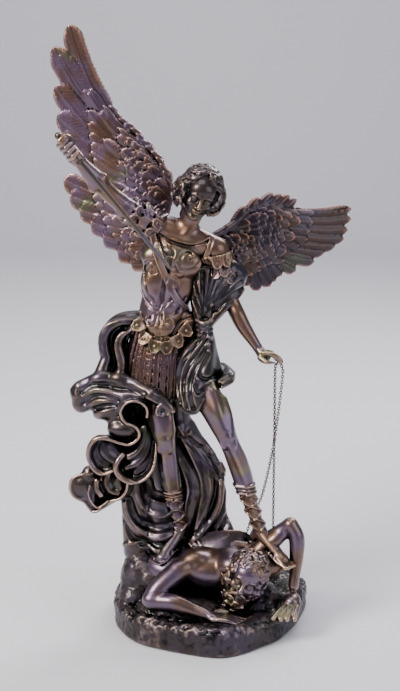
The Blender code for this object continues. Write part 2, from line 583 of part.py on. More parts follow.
def main():
    """Clears the scene and builds the three pieces."""
    for old in list(bpy.data.objects):
        bpy.data.objects.remove(old)
    parts = bpy.data.collections.new("Archangel statue")
    cutters = bpy.data.collections.new("Cutters")
    for group in (parts, cutters):
        bpy.context.scene.collection.children.link(group)

    clay = Clay()
    add_base(clay)
    add_torso(clay)
    add_hair(clay)
    add_arms(clay)
    add_legs(clay)
    add_skirt(clay)
    add_wings(clay)
    add_cloth(clay)
    add_demon(clay)
    statue = fused(clay.finish("casting"), "statue")

    table = bpy.data.meshes.new("table")
    work = bmesh.new()
    bmesh.ops.create_cube(work, size=1.0, matrix=Matrix.Translation((0, 0, -0.5)))
    work.to_mesh(table)
    work.free()
    knives = [bpy.data.objects.new("table_cut", table), sword_shape(SWORD_CLEARANCE, "sword_cut", only_grip=True),
              chain_shape(CHAIN_CLEARANCE, "chain_cut", sides=6)]
    for knife in knives:
        cutters.objects.link(knife)
        knife.hide_render = True
        knife.display_type = "WIRE"
        cut(statue, knife)
    solid = evaluated_copy(statue, "statue_solid")
    bpy.data.objects.remove(statue)
    solid.name = "statue"
    keep_largest(solid.data)

    sword = sword_shape(0.0, "sword")
    chain = chain_shape(0.0, "chain")
    finishes = {"statue": bronze("bronze_patina", (0.12, 0.07, 0.055), 0.38),
                "sword": bronze("bronze_blade", (0.16, 0.10, 0.085), 0.30),
                "chain": bronze("chain_metal", (0.22, 0.13, 0.09), 0.35)}
    for piece in (solid, sword, chain):
        if piece.name in bpy.context.scene.collection.objects:
            bpy.context.scene.collection.objects.unlink(piece)
        parts.objects.link(piece)
        piece.data.materials.clear()
        piece.data.materials.append(finishes[piece.name])
        piece.data.shade_smooth()
        piece.data.set_sharp_from_angle(angle=math.radians(55))


main()
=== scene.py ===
"""Studio scene of a cast archangel statue: bronze-finished figure, demon and rock, with a sword and a chain.

Every sculpted piece is modelled as clay: signed distances on an even grid, in millimetres, that balls, limbs and
lofted shells are pressed into. The grid's skin becomes the mesh. How far each point stands proud of its neighbours
gives the patina its rubbed ridges, partly wear and partly painted highlight, and painted shade in its creases; how
sheltered each point lies paints further shade.
"""

import json
import logging
import math
from collections.abc import Callable
from dataclasses import dataclass, field
from enum import Enum
from itertools import product

import bpy
import numpy as np
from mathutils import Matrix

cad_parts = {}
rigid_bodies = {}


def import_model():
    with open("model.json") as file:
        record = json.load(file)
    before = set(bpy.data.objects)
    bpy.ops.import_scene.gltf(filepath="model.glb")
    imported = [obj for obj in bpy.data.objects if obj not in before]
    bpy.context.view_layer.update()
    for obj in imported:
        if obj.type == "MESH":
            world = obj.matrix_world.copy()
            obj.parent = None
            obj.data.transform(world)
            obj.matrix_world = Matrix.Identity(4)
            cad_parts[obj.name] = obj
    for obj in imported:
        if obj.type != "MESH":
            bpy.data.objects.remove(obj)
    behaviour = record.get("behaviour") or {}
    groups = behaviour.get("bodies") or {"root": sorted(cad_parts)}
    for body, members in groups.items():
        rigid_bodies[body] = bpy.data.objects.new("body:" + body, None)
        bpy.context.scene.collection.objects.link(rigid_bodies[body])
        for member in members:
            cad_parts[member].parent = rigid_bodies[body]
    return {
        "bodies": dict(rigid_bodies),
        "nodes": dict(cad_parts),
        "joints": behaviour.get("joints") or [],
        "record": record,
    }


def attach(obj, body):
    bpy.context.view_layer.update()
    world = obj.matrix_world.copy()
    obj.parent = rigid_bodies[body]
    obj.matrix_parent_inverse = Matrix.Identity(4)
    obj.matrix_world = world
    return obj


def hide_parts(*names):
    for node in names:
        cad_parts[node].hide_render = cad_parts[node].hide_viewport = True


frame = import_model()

import openvdb as vdb
from mathutils import Vector

LOG = logging.getLogger("statue")

MM = 0.001
SEED = 7

# Clay: the distance that stands for open air, how far past itself a form is worked out, and half the width
# of a shell's band in voxels
FAR = 9.0
MARGIN = 6.0
BAND = 5.0

# Noise cells in a metre: tints drift in patches of about 36 mm, films of 62 mm, mottle of 6 mm, cast grain
# of 2.4 mm
DRIFT = 28.0
FILM = 16.0
MOTTLE = 160.0
GRAIN = 420.0

# The sword runs from its pommel's end over a second place, which sets its direction
POMMEL_END = (-176, -68, 620)
BLADE_PASSES = (-42, -48, 455)

# Corners of a head's clay, in the head's own space
HEAD_LOW = (-40, -42, -50)
HEAD_HIGH = (40, 38, 40)

Point = tuple[float, ...]
Path = list[Point]
Line = list[tuple[float, float]]
Socket = bpy.types.NodeSocket


class Node(Enum):
    """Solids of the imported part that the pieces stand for."""

    STATUE = "statue"
    SWORD = "sword"
    CHAIN = "chain"


def spline(points: Path, count: int) -> np.ndarray:
    """Evenly spaced points on a smooth curve.

    Args:
        points: stations of any width; columns past the third, such as a radius, are carried along.
        count: how many points to return.

    Returns:
        An array of count rows.
    """
    pts = np.array(points, float)
    pts = np.vstack([2 * pts[0] - pts[1], pts, 2 * pts[-1] - pts[-2]])
    t = np.linspace(0, 1, 12, endpoint=False)[:, None]
    runs = [0.5 * (2 * b + (c - a) * t + (2 * a - 5 * b + 4 * c - d) * t ** 2 + (3 * b - a - 3 * c + d) * t **
                   3) for a, b, c, d in zip(pts, pts[1:], pts[2:], pts[3:])]
    fine = np.vstack([*runs, pts[-2:-1]])
    along = np.concatenate([[0], np.cumsum(np.linalg.norm(np.diff(fine[:, :3], axis=0), axis=1))])
    wanted = np.linspace(0, along[-1], count)
    return np.stack([np.interp(wanted, along, fine[:, k]) for k in range(fine.shape[1])], 1)


def length_of(points: Path) -> float:
    """The length of a polyline.

    Args:
        points: its stations.

    Returns:
        The length in the stations' unit.
    """
    pts = np.array(points, float)[:, :3]
    return float(np.linalg.norm(np.diff(pts, axis=0), axis=1).sum())


def turned(turn: Point) -> np.ndarray:
    """A rotation matrix from degrees about x, then y, then z.

    Args:
        turn: the three angles.

    Returns:
        A 3 by 3 matrix whose columns are the turned axes.
    """
    ax, ay, az = (math.radians(a) for a in turn)
    about_x = np.array([[1, 0, 0], [0, math.cos(ax), -math.sin(ax)], [0, math.sin(ax), math.cos(ax)]])
    about_y = np.array([[math.cos(ay), 0, math.sin(ay)], [0, 1, 0], [-math.sin(ay), 0, math.cos(ay)]])
    about_z = np.array([[math.cos(az), -math.sin(az), 0], [math.sin(az), math.cos(az), 0], [0, 0, 1]])
    return about_z @ about_y @ about_x


def unit(vector: Point) -> np.ndarray:
    """The vector at length one.

    Args:
        vector: any vector but zero.

    Returns:
        The unit vector.
    """
    v = np.array(vector, float)
    return v / np.linalg.norm(v)


def sword_axes() -> tuple[np.ndarray, np.ndarray, np.ndarray]:
    """The sword's own directions.

    Returns:
        Unit vectors along it, across it and toward the viewer.
    """
    along = unit(np.subtract(BLADE_PASSES, POMMEL_END))
    face = unit(np.array([0.0, -1.0, 0.0]) + along * along[1])
    return along, np.cross(face, along), face


def soft_min(a: np.ndarray, b: np.ndarray, soft: float) -> np.ndarray:
    """The lesser of two distance fields, with a fillet where they meet.

    Args:
        a: one field.
        b: the other field.
        soft: the fillet's width in millimetres; 0 gives a sharp join.

    Returns:
        The joined field.
    """
    if soft <= 0:
        return np.minimum(a, b)
    near = np.maximum(soft - np.abs(a - b), 0) / soft
    return np.minimum(a, b) - near * near * soft * 0.25


def between_cells(base: np.ndarray, share: np.ndarray, read: Callable[[np.ndarray],
                                                                      np.ndarray]) -> np.ndarray:
    """A grid's values, blended from the eight cells around each point.

    Args:
        base: indices of each point's lowest cell.
        share: how far toward the next cell it lies, on each axis.
        read: gives the values of the cells with these indices.

    Returns:
        One value for each point.
    """
    total = np.zeros(len(base))
    for step in product((0, 1), repeat=3):
        total += np.prod(np.where(step, share, 1 - share), axis=1) * read(base + step)
    return total


def noise(points: np.ndarray, size: float, seed: int, octaves: int = 3) -> np.ndarray:
    """Smooth seeded noise, from about -1 to 1.

    Args:
        points: positions in millimetres.
        size: the coarsest lump's width in millimetres.
        seed: picks the pattern.
        octaves: how many finer layers are added.

    Returns:
        One value for each point.
    """
    table = np.random.default_rng(seed).uniform(-1, 1, (32, 32, 32))
    total = np.zeros(len(points))
    weight = 1.0
    for layer in range(octaves):
        place = points / size * 2 ** layer + 31.7 * layer
        base = np.floor(place).astype(int)
        share = place - base
        share = share * share * (3 - 2 * share)
        total += weight * between_cells(base, share, lambda cells: table[tuple(cells.T % len(table))])
        weight *= 0.5
    return total


class Loft:
    """Closed shells lofted from rings of points, gathered to be pressed into a clay block."""

    def __init__(self) -> None:
        """Starts with no shells."""
        self.points: list[np.ndarray] = []
        self.quads: list[np.ndarray] = []
        self.count = 0

    def slab(self, front: np.ndarray, back: np.ndarray) -> None:
        """A closed shell between two grids of points that share their edge.

        Args:
            front: rows by columns by 3.
            back: the same shape.
        """
        rows, columns = front.shape[:2]
        ids = self.count + np.arange(2 * rows * columns).reshape(2, rows, columns)
        self.points.append(np.concatenate([front.reshape(-1, 3), back.reshape(-1, 3)]))
        self.count += 2 * rows * columns
        f, b = ids
        faces = [np.stack([f[:-1, :-1], f[1:, :-1], f[1:, 1:], f[:-1, 1:]], -1).reshape(-1, 4),
                 np.stack([b[:-1, :-1], b[:-1, 1:], b[1:, 1:], b[1:, :-1]], -1).reshape(-1, 4)]
        for fe, be, flip in ((f[0], b[0], 0), (f[-1], b[-1], 1), (f[:, 0], b[:, 0], 1),
                             (f[:, -1], b[:, -1], 0)):
            side = np.stack([fe[:-1], fe[1:], be[1:], be[:-1]], -1)
            faces.append(side[:, ::-1] if flip else side)
        self.quads.extend(faces)

    def leaf(self, root: Point, tip: Point, width: float, thick: float, facing: Point, bow: float = 0.0,
             tilt: float = 0.0, barb: float = 0.4, blunt: float = 0.78, camber: float = 0.012) -> None:
        """A feather with its quill and slanting barbs, the same on both faces.

        Args:
            root: where it starts.
            tip: where it ends.
            width: across its widest part.
            thick: through its middle.
            facing: the way its front looks.
            bow: sideways bend as a share of its length.
            tilt: turn about its own length in radians, so that neighbours lap like shingles.
            barb: depth of the barbs.
            blunt: where along it the tip begins to round.
            camber: lift of its middle as a share of its length.
        """
        root, tip = np.array(root, float), np.array(tip, float)
        run = tip - root
        length = float(np.linalg.norm(run))
        ahead = run / length
        across = unit(np.cross(ahead, facing))
        face = np.cross(across, ahead)
        across, face = across * math.cos(tilt) + face * math.sin(tilt), face * math.cos(tilt) - across * math.sin(tilt)
        rows = max(10, int(length / 1.4))
        t = np.linspace(0, 1, rows)[:, None]
        s = np.linspace(-1, 1, int(np.clip(width / 1.3, 9, 23)) | 1)[None, :]
        half = 0.62 + 0.38 * np.sin(np.clip(t / 0.5, 0, 1) * math.pi / 2)
        end = np.clip((t - blunt) / (1 - blunt), 0, 1)
        half = half * np.sqrt(np.maximum(1 - end ** 2, 0.012)) * width / 2
        middle = (root + run * t + across * bow * length * np.sin(math.pi * t)
                  + face * camber * length * np.sin(math.pi * t))[:, None, :]
        place = middle + across * (s * half)[..., None]
        quill = (0.5 + 0.03 * width) * np.exp(-(s * half / 0.9) ** 2) * (1 - 0.5 * t)
        slant = (t * length - np.abs(s) * half * 2.4) / 4.6
        lines = barb * (0.5 + 0.5 * np.cos(2 * math.pi * slant)) * np.clip(np.abs(s) * half / 1.5 - 0.6, 0, 1)
        round_ = 1 - 0.75 * np.abs(s) ** 2.4
        crown = (thick / 2 * round_ * (0.55 + 0.45 * np.sin(np.clip(t * 1.2, 0, 1) * math.pi / 2)) + quill
                 - lines)[..., None] * face
        self.slab(place + crown, place - crown)

    def tab(self, root: Point, tip: Point, facing: Point, width: float, thick: float, rim: float,
            pointed: bool = False) -> None:
        """A leather tab with a raised rim and a boss, rounded or pointed at its end.

        Args:
            root: where it starts.
            tip: where it ends.
            facing: the way its front looks.
            width: across it.
            thick: through it.
            rim: height of the rim.
            pointed: True for a straight-sided point.
        """
        root, tip = np.array(root, float), np.array(tip, float)
        run = tip - root
        length = float(np.linalg.norm(run))
        across = unit(np.cross(run, facing))
        face = np.cross(across, run / length)
        t = np.linspace(0, 1, max(12, int(length / 0.7)))[:, None]
        s = np.linspace(-1, 1, 15)[None, :]
        end = np.clip((t - 0.55) / 0.45, 0, 1)
        shape = 1 - 0.62 * end if pointed else np.sqrt(np.maximum(1 - end ** 2, 0.03))
        half = shape * width / 2
        edge = np.minimum(half * (1 - np.abs(s)), (1 - t) * length + 0 * s)
        rise = rim * (np.exp(-((edge - 1.0) / 0.75) ** 2) + 0.55 * np.exp(-((edge - 3.7) / 0.7) ** 2))
        boss = np.sqrt(((t - 0.5) * length) ** 2 + (s * half) ** 2)
        rise = np.maximum(rise, 0.8 * rim * np.clip(1.5 - boss / (0.09 * width), 0, 1))
        place = root + run * t[..., None] + across * (s * half)[..., None]
        self.slab(place + face * (thick / 2 + rise)[..., None], place - face * thick / 2)

    def sheet(self, edges: list[Path], thick: float, step: float = 2.4) -> None:
        """Cloth lofted through a row of curves.

        Args:
            edges: curves that run the same way, from one side of the cloth to the other.
            thick: the cloth's thickness.
            step: the spacing of the loft's points.
        """
        along = max(6, int(max(length_of(e) for e in edges) / step))
        rows = np.array([spline(edge, along) for edge in edges])
        across = max(5, int(length_of(list(rows[:, along // 2])) / step))
        grid = np.array([spline(list(rows[:, i]), across) for i in range(along)])
        normal = np.cross(np.gradient(grid, axis=0), np.gradient(grid, axis=1))
        normal /= np.maximum(np.linalg.norm(normal, axis=2, keepdims=True), 1e-9)
        self.slab(grid + normal * thick / 2, grid - normal * thick / 2)

    def strap(self, path: Path, facing: np.ndarray | Point, width: float, thick: float, rim: float = 0.0,
              studs: float = 0.0, pointed: float = 0.0) -> None:
        """A leather strip with raised borders and a row of bosses.

        Args:
            path: its middle line.
            facing: the way its front looks.
            width: across it.
            thick: through it.
            rim: height of the raised borders.
            studs: spacing of the bosses, or 0 for none.
            pointed: share of its length that narrows to the end.
        """
        rows = max(8, int(length_of(path) / 0.9))
        middle = spline(path, rows)
        run = np.gradient(middle, axis=0)
        run /= np.linalg.norm(run, axis=1, keepdims=True)
        across = np.cross(run, np.array(facing, float))
        across /= np.linalg.norm(across, axis=1, keepdims=True)
        face = np.cross(across, run)
        t = np.linspace(0, 1, rows)[:, None]
        s = np.linspace(-1, 1, 13)[None, :]
        half = width / 2 * np.clip((1 - t) / max(pointed, 1e-6) + 0.35, 0, 1) if pointed else width / 2
        rise = rim * np.exp(-((np.abs(s) - 0.84) / 0.13) ** 2)
        if studs:
            beat = np.abs((t * length_of(path) / studs) % 1 - 0.5) * studs
            reach = np.sqrt(beat ** 2 + (s * width / 2) ** 2)
            rise = np.maximum(rise, rim * 1.1 * np.clip(1.4 - reach / (0.24 * width), 0, 1))
        place = middle[:, None, :] + across[:, None, :] * (s * half)[..., None]
        top = place + face[:, None, :] * (thick / 2 + rise)[..., None]
        self.slab(top, place - face[:, None, :] * thick / 2)

    def arrays(self) -> tuple[np.ndarray, np.ndarray]:
        """The gathered shells.

        Returns:
            Points and quads.
        """
        return np.concatenate(self.points).astype(np.float32), np.concatenate(self.quads).astype(np.uint32)


class Block:
    """A block of clay: signed distances in millimetres on an even grid."""

    def __init__(self, low: Point, high: Point, voxel: float) -> None:
        """Sets up an empty block.

        Args:
            low: its lowest corner.
            high: its highest corner.
        """
        self.voxel = voxel * 1.0
        self.first = np.floor(np.array(low) / self.voxel).astype(int)
        last = np.ceil(np.array(high) / self.voxel).astype(int) + 1
        self.low = self.first * self.voxel
        self.field = np.full(tuple(last - self.first), FAR, np.float32)

    def _window(self, low: np.ndarray, high: np.ndarray) -> tuple[np.ndarray, np.ndarray,
                                                                  list[np.ndarray]] | None:
        """The part of the grid inside a box.

        Args:
            low: the box's lowest corner.
            high: its highest corner.

        Returns:
            The first and last cells and the cells' coordinates, or None where the box misses the grid.
        """
        a = np.maximum(np.floor((low - self.low) / self.voxel).astype(int), 0)
        b = np.minimum(np.ceil((high - self.low) / self.voxel).astype(int) + 1, self.field.shape)
        if np.any(b <= a):
            return None
        axes = [(self.low[k] + self.voxel * np.arange(a[k], b[k])).astype(np.float32) for k in range(3)]
        return a, b, np.meshgrid(*axes, indexing="ij", sparse=True)

    def _join(self, a: np.ndarray, b: np.ndarray, shape: np.ndarray, soft: float, carve: bool) -> None:
        """Presses a form in, or cuts it out.

        Args:
            a: the first cell that it covers.
            b: the cell past the last.
            shape: its signed distances there.
            soft: the fillet's width.
            carve: True to cut it out.
        """
        cut = tuple(slice(i, j) for i, j in zip(a, b))
        old = self.field[cut]
        self.field[cut] = -soft_min(-old, shape, soft) if carve else soft_min(old, shape, soft)

    def ball(self, centre: Point, radii: Point, turn: Point = (0, 0, 0), soft: float = 2.0,
             carve: bool = False) -> None:
        """Presses in, or scoops out, an ellipsoid.

        Args:
            centre: its middle.
            radii: its three half widths.
            turn: its rotation in degrees.
            soft: the fillet's width.
            carve: True to scoop it out.
        """
        spin, size = turned(turn), np.array(radii, float)
        reach = np.sqrt(((spin * size) ** 2).sum(1)) + MARGIN
        found = self._window(np.array(centre) - reach, np.array(centre) + reach)
        if found is None:
            return
        a, b, (x, y, z) = found
        x, y, z = x - centre[0], y - centre[1], z - centre[2]
        near, steep = 0.0, 0.0
        for k in range(3):
            local = (x * spin[0, k] + y * spin[1, k] + z * spin[2, k]) / size[k]
            near = near + local ** 2
            steep = steep + (local / size[k]) ** 2
        near, steep = np.sqrt(near), np.sqrt(steep)
        shape = np.where(near > 1e-3, near * (near - 1) / np.maximum(steep, 1e-6), -size.min())
        self._join(a, b, shape.astype(np.float32), soft, carve)

    def limb(self, stations: Path, soft: float = 1.5, carve: bool = False) -> None:
        """Presses in, or scoops out, a round limb along a smooth path.

        Args:
            stations: (x, y, z, radius) along it.
            soft: the fillet's width.
            carve: True to scoop it out.
        """
        path = spline(stations, max(3, int(length_of(stations) / 3.0)))
        edge = path[:, 3].max() + MARGIN
        found = self._window(path[:, :3].min(0) - edge, path[:, :3].max(0) + edge)
        if found is None:
            return
        a, b, (x, y, z) = found
        shape = np.full(tuple(b - a), FAR, np.float32)
        for p, q in zip(path, path[1:]):
            edge = max(p[3], q[3]) + MARGIN
            inner = self._window(np.minimum(p, q)[:3] - edge, np.maximum(p, q)[:3] + edge)
            if inner is None:
                continue
            c, d, (x, y, z) = inner
            run = (q - p)[:3]
            x, y, z = x - p[0], y - p[1], z - p[2]
            t = np.clip((x * run[0] + y * run[1] + z * run[2]) / max(float(run @ run), 1e-9), 0, 1)
            gap = np.sqrt((x - t * run[0]) ** 2 + (y - t * run[1]) ** 2 + (z - t * run[2]) ** 2)
            cut = tuple(slice(i, j) for i, j in zip(c - a, d - a))
            shape[cut] = np.minimum(shape[cut], gap - (p[3] + (q[3] - p[3]) * t))
        self._join(a, b, shape, soft, carve)

    def shells(self, loft: Loft, soft: float = 0.6, carve: bool = False) -> None:
        """Presses lofted shells into the clay.

        Args:
            loft: the gathered shells.
            soft: the fillet's width.
            carve: True to cut them out.
        """
        points, quads = loft.arrays()
        grid = vdb.FloatGrid.createLevelSetFromPolygons(
            points, quads=quads, transform=vdb.createLinearTransform(self.voxel), halfWidth=BAND)
        low, high = (np.array(c) for c in grid.evalActiveVoxelBoundingBox())
        a = np.maximum(low - self.first, 0)
        b = np.minimum(high + 1 - self.first, self.field.shape)
        if np.any(b <= a):
            return
        shape = np.zeros(tuple(b - a), np.float32)
        grid.copyToArray(shape, ijk=tuple(int(v) for v in a + self.first))
        self._join(a, b, shape, soft, carve)

    def front(self, x: float, z: float, back: bool = False) -> float:
        """Where a line of sight along y meets the clay.

        Args:
            x: the line's place across.
            z: the line's height.
            back: True to look from behind.

        Returns:
            The depth of the surface, or not a number where there is none.
        """
        i, k = int(round((x - self.low[0]) / self.voxel)), int(round((z - self.low[2]) / self.voxel))
        if not (0 <= i < self.field.shape[0] and 0 <= k < self.field.shape[2]):
            return math.nan
        hits = np.flatnonzero(self.field[i, :, k] < 0)
        if not len(hits):
            return math.nan
        return float(self.low[1] + self.voxel * (hits[-1] if back else hits[0]))

    def on_front(self, line: Line, lift: float) -> list[Point]:
        """The points of a line that lie on the clay, seen from the front.

        Args:
            line: x and z of each point.
            lift: how far toward the viewer they're moved.

        Returns:
            The points in space, without those that miss the clay.
        """
        found = [(x, self.front(x, z) - lift, z) for x, z in line]
        return [p for p in found if math.isfinite(p[1])]

    def reach(self, origin: np.ndarray, way: np.ndarray, most: float) -> float:
        """How far from a point inside the clay its surface lies.

        Args:
            origin: a point inside.
            way: a unit direction.
            most: how far to look.

        Returns:
            The distance in millimetres.
        """
        steps = np.arange(0, most, self.voxel / 2)
        cells = np.rint((origin + steps[:, None] * way - self.low) / self.voxel).astype(int)
        cells = np.clip(cells, 0, np.array(self.field.shape) - 1)
        out = np.flatnonzero(self.field[cells[:, 0], cells[:, 1], cells[:, 2]] > 0)
        return float(steps[out[0]]) if len(out) else most

    def trace(self, line: Line, radius: float, sink: float = 0.3, soft: float = 0.8,
              carve: bool = False) -> None:
        """Lays a raised or cut line over the front surface.

        Args:
            line: (x, z) stations.
            radius: half the line's width.
            sink: how deep its middle lies, as a share of the radius.
            soft: the fillet's width.
            carve: True to cut it in.
        """
        flat = spline([(x, 0.0, z) for x, z in line], max(4, int(length_of([(x, 0, z) for x,
                                                                            z in line]) / 2.0)))
        stations = np.array([(x, self.front(x, z) + radius * sink, z, radius) for x, _, z in flat])
        stations = stations[np.isfinite(stations[:, 1])]
        if len(stations) < 3:
            return
        ys = stations[:, 1]
        for _ in range(2):
            middle = np.sort(np.stack([ys[:-2], ys[1:-1], ys[2:]]), axis=0)[1]
            ys[1:-1] = (ys[:-2] + middle + ys[2:]) / 3
        self.limb(stations, soft, carve)

    def skin(self) -> tuple[np.ndarray, np.ndarray]:
        """The clay's surface.

        Returns:
            Points in millimetres and quads that face out, small loose crumbs left out.
        """
        for axis in range(3):
            for end in (0, -1):
                cut = [slice(None)] * 3
                cut[axis] = end
                self.field[tuple(cut)] = np.maximum(self.field[tuple(cut)], 0.4 * self.voxel)
        grid = vdb.FloatGrid(background=FAR)
        grid.copyFromArray(self.field)
        grid.transform = vdb.createLinearTransform(self.voxel)
        points, quads = grid.convertToQuads(isovalue=0.0)
        points, quads = points.astype(float) + self.low, quads.astype(int)
        corner = points[quads]
        turn = np.einsum("ij,ij->i", corner[:, 0], np.cross(corner[:, 1], corner[:, 2])).sum()
        if turn < 0:
            quads = quads[:, ::-1]
        return without_crumbs(points, quads)


def without_crumbs(points: np.ndarray, quads: np.ndarray) -> tuple[np.ndarray, np.ndarray]:
    """Drops every loose shell smaller than a twentieth of the largest.

    Args:
        points: the mesh's points.
        quads: its faces.

    Returns:
        Points and quads of what is kept.
    """
    label = np.arange(len(points))
    edges = np.concatenate([quads[:, [0, 1]], quads[:, [1, 2]], quads[:, [2, 3]]])
    while True:
        low = np.minimum(label[edges[:, 0]], label[edges[:, 1]])
        new = label.copy()
        np.minimum.at(new, edges[:, 0], low)
        np.minimum.at(new, edges[:, 1], low)
        new = new[new]
        if np.array_equal(new, label):
            break
        label = new
    names, sizes = np.unique(label, return_counts=True)
    kept = np.isin(label, names[sizes >= sizes.max() / 20])
    index = np.cumsum(kept) - 1
    return points[kept], index[quads[kept[quads[:, 0]]]]


def lighter(points: np.ndarray, quads: np.ndarray, budget: int) -> tuple[np.ndarray, np.ndarray]:
    """The same surface with fewer faces, kept finest where it bends most.

    Args:
        points: the mesh's points.
        quads: its faces.
        budget: how many triangles may remain.

    Returns:
        Points and triangles.
    """
    data = bpy.data.meshes.new("fine")
    data.from_pydata(points, [], quads)
    fine = bpy.data.objects.new("fine", data)
    bpy.context.scene.collection.objects.link(fine)
    thin = fine.modifiers.new("Fewer faces", "DECIMATE")
    thin.ratio = min(1.0, budget / (2 * len(quads)))
    thin.use_collapse_triangulate = True
    graph = bpy.context.evaluated_depsgraph_get()
    light = bpy.data.meshes.new_from_object(fine.evaluated_get(graph))
    light.calc_loop_triangles()
    kept = np.empty(3 * len(light.vertices), np.float32)
    light.vertices.foreach_get("co", kept)
    faces = np.empty(3 * len(light.loop_triangles), np.int32)
    light.loop_triangles.foreach_get("vertices", faces)
    bpy.data.objects.remove(fine)
    for mesh in (data, light):
        bpy.data.meshes.remove(mesh)
    return kept.reshape(-1, 3).astype(float), faces.reshape(-1, 3)


def normals_of(points: np.ndarray, faces: np.ndarray) -> np.ndarray:
    """Unit normals at the points.

    Args:
        points: the mesh's points.
        faces: its triangles or quads.

    Returns:
        One normal for each point.
    """
    c = points[faces]
    face = np.cross(c[:, 1] - c[:, 0], c[:, 2] - c[:, 0])
    corners = faces.shape[1]
    total = np.stack([np.bincount(faces.ravel(), np.repeat(face[:, k], corners),
                                  len(points)) for k in range(3)], 1)
    return total / np.maximum(np.linalg.norm(total, axis=1, keepdims=True), 1e-12)


def blurred(solid: np.ndarray, half: int) -> np.ndarray:
    """A box blur along the three axes.

    Args:
        solid: the grid.
        half: cells on each side that count.

    Returns:
        The blurred grid.
    """
    for axis in range(3):
        pad = [(0, 0)] * 3
        pad[axis] = (half + 1, half)
        run = np.cumsum(np.pad(solid, pad, mode="edge"), axis=axis, dtype=np.float32)
        size = solid.shape[axis]
        high = np.take(run, np.arange(2 * half + 1, 2 * half + 1 + size), axis=axis)
        solid = (high - np.take(run, np.arange(size), axis=axis)) / (2 * half + 1)
    return solid


def sampled(grid: np.ndarray, low: np.ndarray, voxel: float, points: np.ndarray) -> np.ndarray:
    """Values of a grid at points, blended between its cells.

    Args:
        grid: the grid.
        low: the position of its first cell.
        voxel: its spacing.
        points: where to read it.

    Returns:
        One value for each point.
    """
    place = np.clip((points - low) / voxel, 0, np.array(grid.shape) - 1.001)
    base = place.astype(int)
    return between_cells(base, place - base, lambda cells: grid[tuple(cells.T)])


class Surroundings:
    """A coarse map of what the whole casting fills, to tell sheltered places from open ones, so that shade can be
    painted into the sheltered ones.
    """

    VOXEL = 3.0
    LOW = np.array([-220.0, -140.0, -20.0])
    HIGH = np.array([210.0, 150.0, 770.0])

    def __init__(self) -> None:
        """Starts with nothing filled."""
        self.filled = np.zeros(tuple(((self.HIGH - self.LOW) / self.VOXEL).astype(int)), np.float32)
        self.near: np.ndarray | None = None
        self.wide: np.ndarray | None = None

    def add(self, block: Block, move: np.ndarray | None = None) -> None:
        """Marks what a block fills.

        Args:
            block: the clay.
            move: a 4 by 4 matrix from the block's own space, or None where that is the world.
        """
        step = max(1, int(self.VOXEL / block.voxel / 2))
        solid = np.argwhere(block.field[::step, ::step, ::step] < 0) * step * block.voxel + block.low
        if move is not None:
            solid = solid @ move[:3, :3].T + move[:3, 3]
        cells = np.floor((solid - self.LOW) / self.VOXEL).astype(int)
        cells = cells[((cells >= 0) & (cells < self.filled.shape)).all(1)]
        self.filled[cells[:, 0], cells[:, 1], cells[:, 2]] = 1.0

    def shelter(self, points: np.ndarray, normals: np.ndarray) -> np.ndarray:
        """How much solid stands in front of each point, which the material paints as shade.

        Args:
            points: positions on the surface.
            normals: their unit normals.

        Returns:
            0 in the open, up to about 1 deep in a recess, where the most shade is painted.
        """
        if self.near is None:
            self.near = blurred(blurred(self.filled, 1), 1)
            self.wide = blurred(blurred(self.filled, 3), 3)
        # Painted shade: the solid found 8 and 16 mm out along the normal sets how much shade the material paints here.
        close = sampled(self.near, self.LOW + self.VOXEL / 2, self.VOXEL, points + normals * 8)
        far = sampled(self.wide, self.LOW + self.VOXEL / 2, self.VOXEL, points + normals * 16)
        return np.clip(0.9 * close + 1.1 * far, 0, 1)


@dataclass(frozen=True)
class BronzeFinish:
    """A patinated bronze surface.

    Attributes:
        painted_shade_colour: the near-black painted as shade in hollows, creases and sheltered places, as an sRGB hex
            colour.
        body: the patina over most of the surface.
        tint: a second, cooler patina that drifts through the first.
        film: the oxide colour that comes up in broad patches.
        rubbed_and_highlight: the ridges' colour, partly bare metal where they are worn and partly a painted highlight.
        gloss: roughness of the rubbed, highlighted ridges.
        dull: roughness of the patina.
        grain: depth of the cast skin's fine unevenness in metres.
        cool: the ridges' second tone, partly worn metal and partly painted highlight.
        coat: how much of the wax polish lies on it.
    """

    painted_shade_colour: str
    body: str
    tint: str
    film: str
    rubbed_and_highlight: str
    gloss: float
    dull: float
    grain: float = 0.00012
    cool: str = "#93807f"
    coat: float = 0.6


def linear(colour: str) -> tuple[float, float, float, float]:
    """An sRGB hex colour as linear light.

    Args:
        colour: six hex digits after a hash.

    Returns:
        Red, green, blue and a full alpha.
    """
    parts = [int(colour[k:k + 2], 16) / 255 for k in (1, 3, 5)]
    light = [c / 12.92 if c <= 0.04045 else ((c + 0.055) / 1.055) ** 2.4 for c in parts]
    return (*light, 1.0)


# Cold-cast bronze: resin filled with bronze powder, darkened and then rubbed back. Hollows, creases and places that
# other parts shelter are painted nearly black as shade; the ridges are painted a warm copper, partly buffed wear and
# partly painted highlight; thin oxide films between the two give violet, green and straw tints. The lacquer over it
# all keeps the highlights sharp. Skin and armour are buffed most, so they are light and glossy; cloth and cloak are
# left darker between their bright hems; feathers, leather and hair break the highlights up; the rock is left rough
# and dull; the blade and the links are handled metal.
FLESH = BronzeFinish("#080707", "#6d5648", "#67576a", "#706d4c", "#c8a88a", 0.20, 0.30)
ARMOUR = BronzeFinish("#0a0808", "#735848", "#6f5c69", "#6b6549", "#b89879", 0.19, 0.30)
CLOTH = BronzeFinish("#070708", "#433a37", "#514856", "#434838", "#b39484", 0.22, 0.30)
CLOAK = BronzeFinish("#050505", "#2f2927", "#3b3641", "#35392d", "#9f836f", 0.22, 0.30)
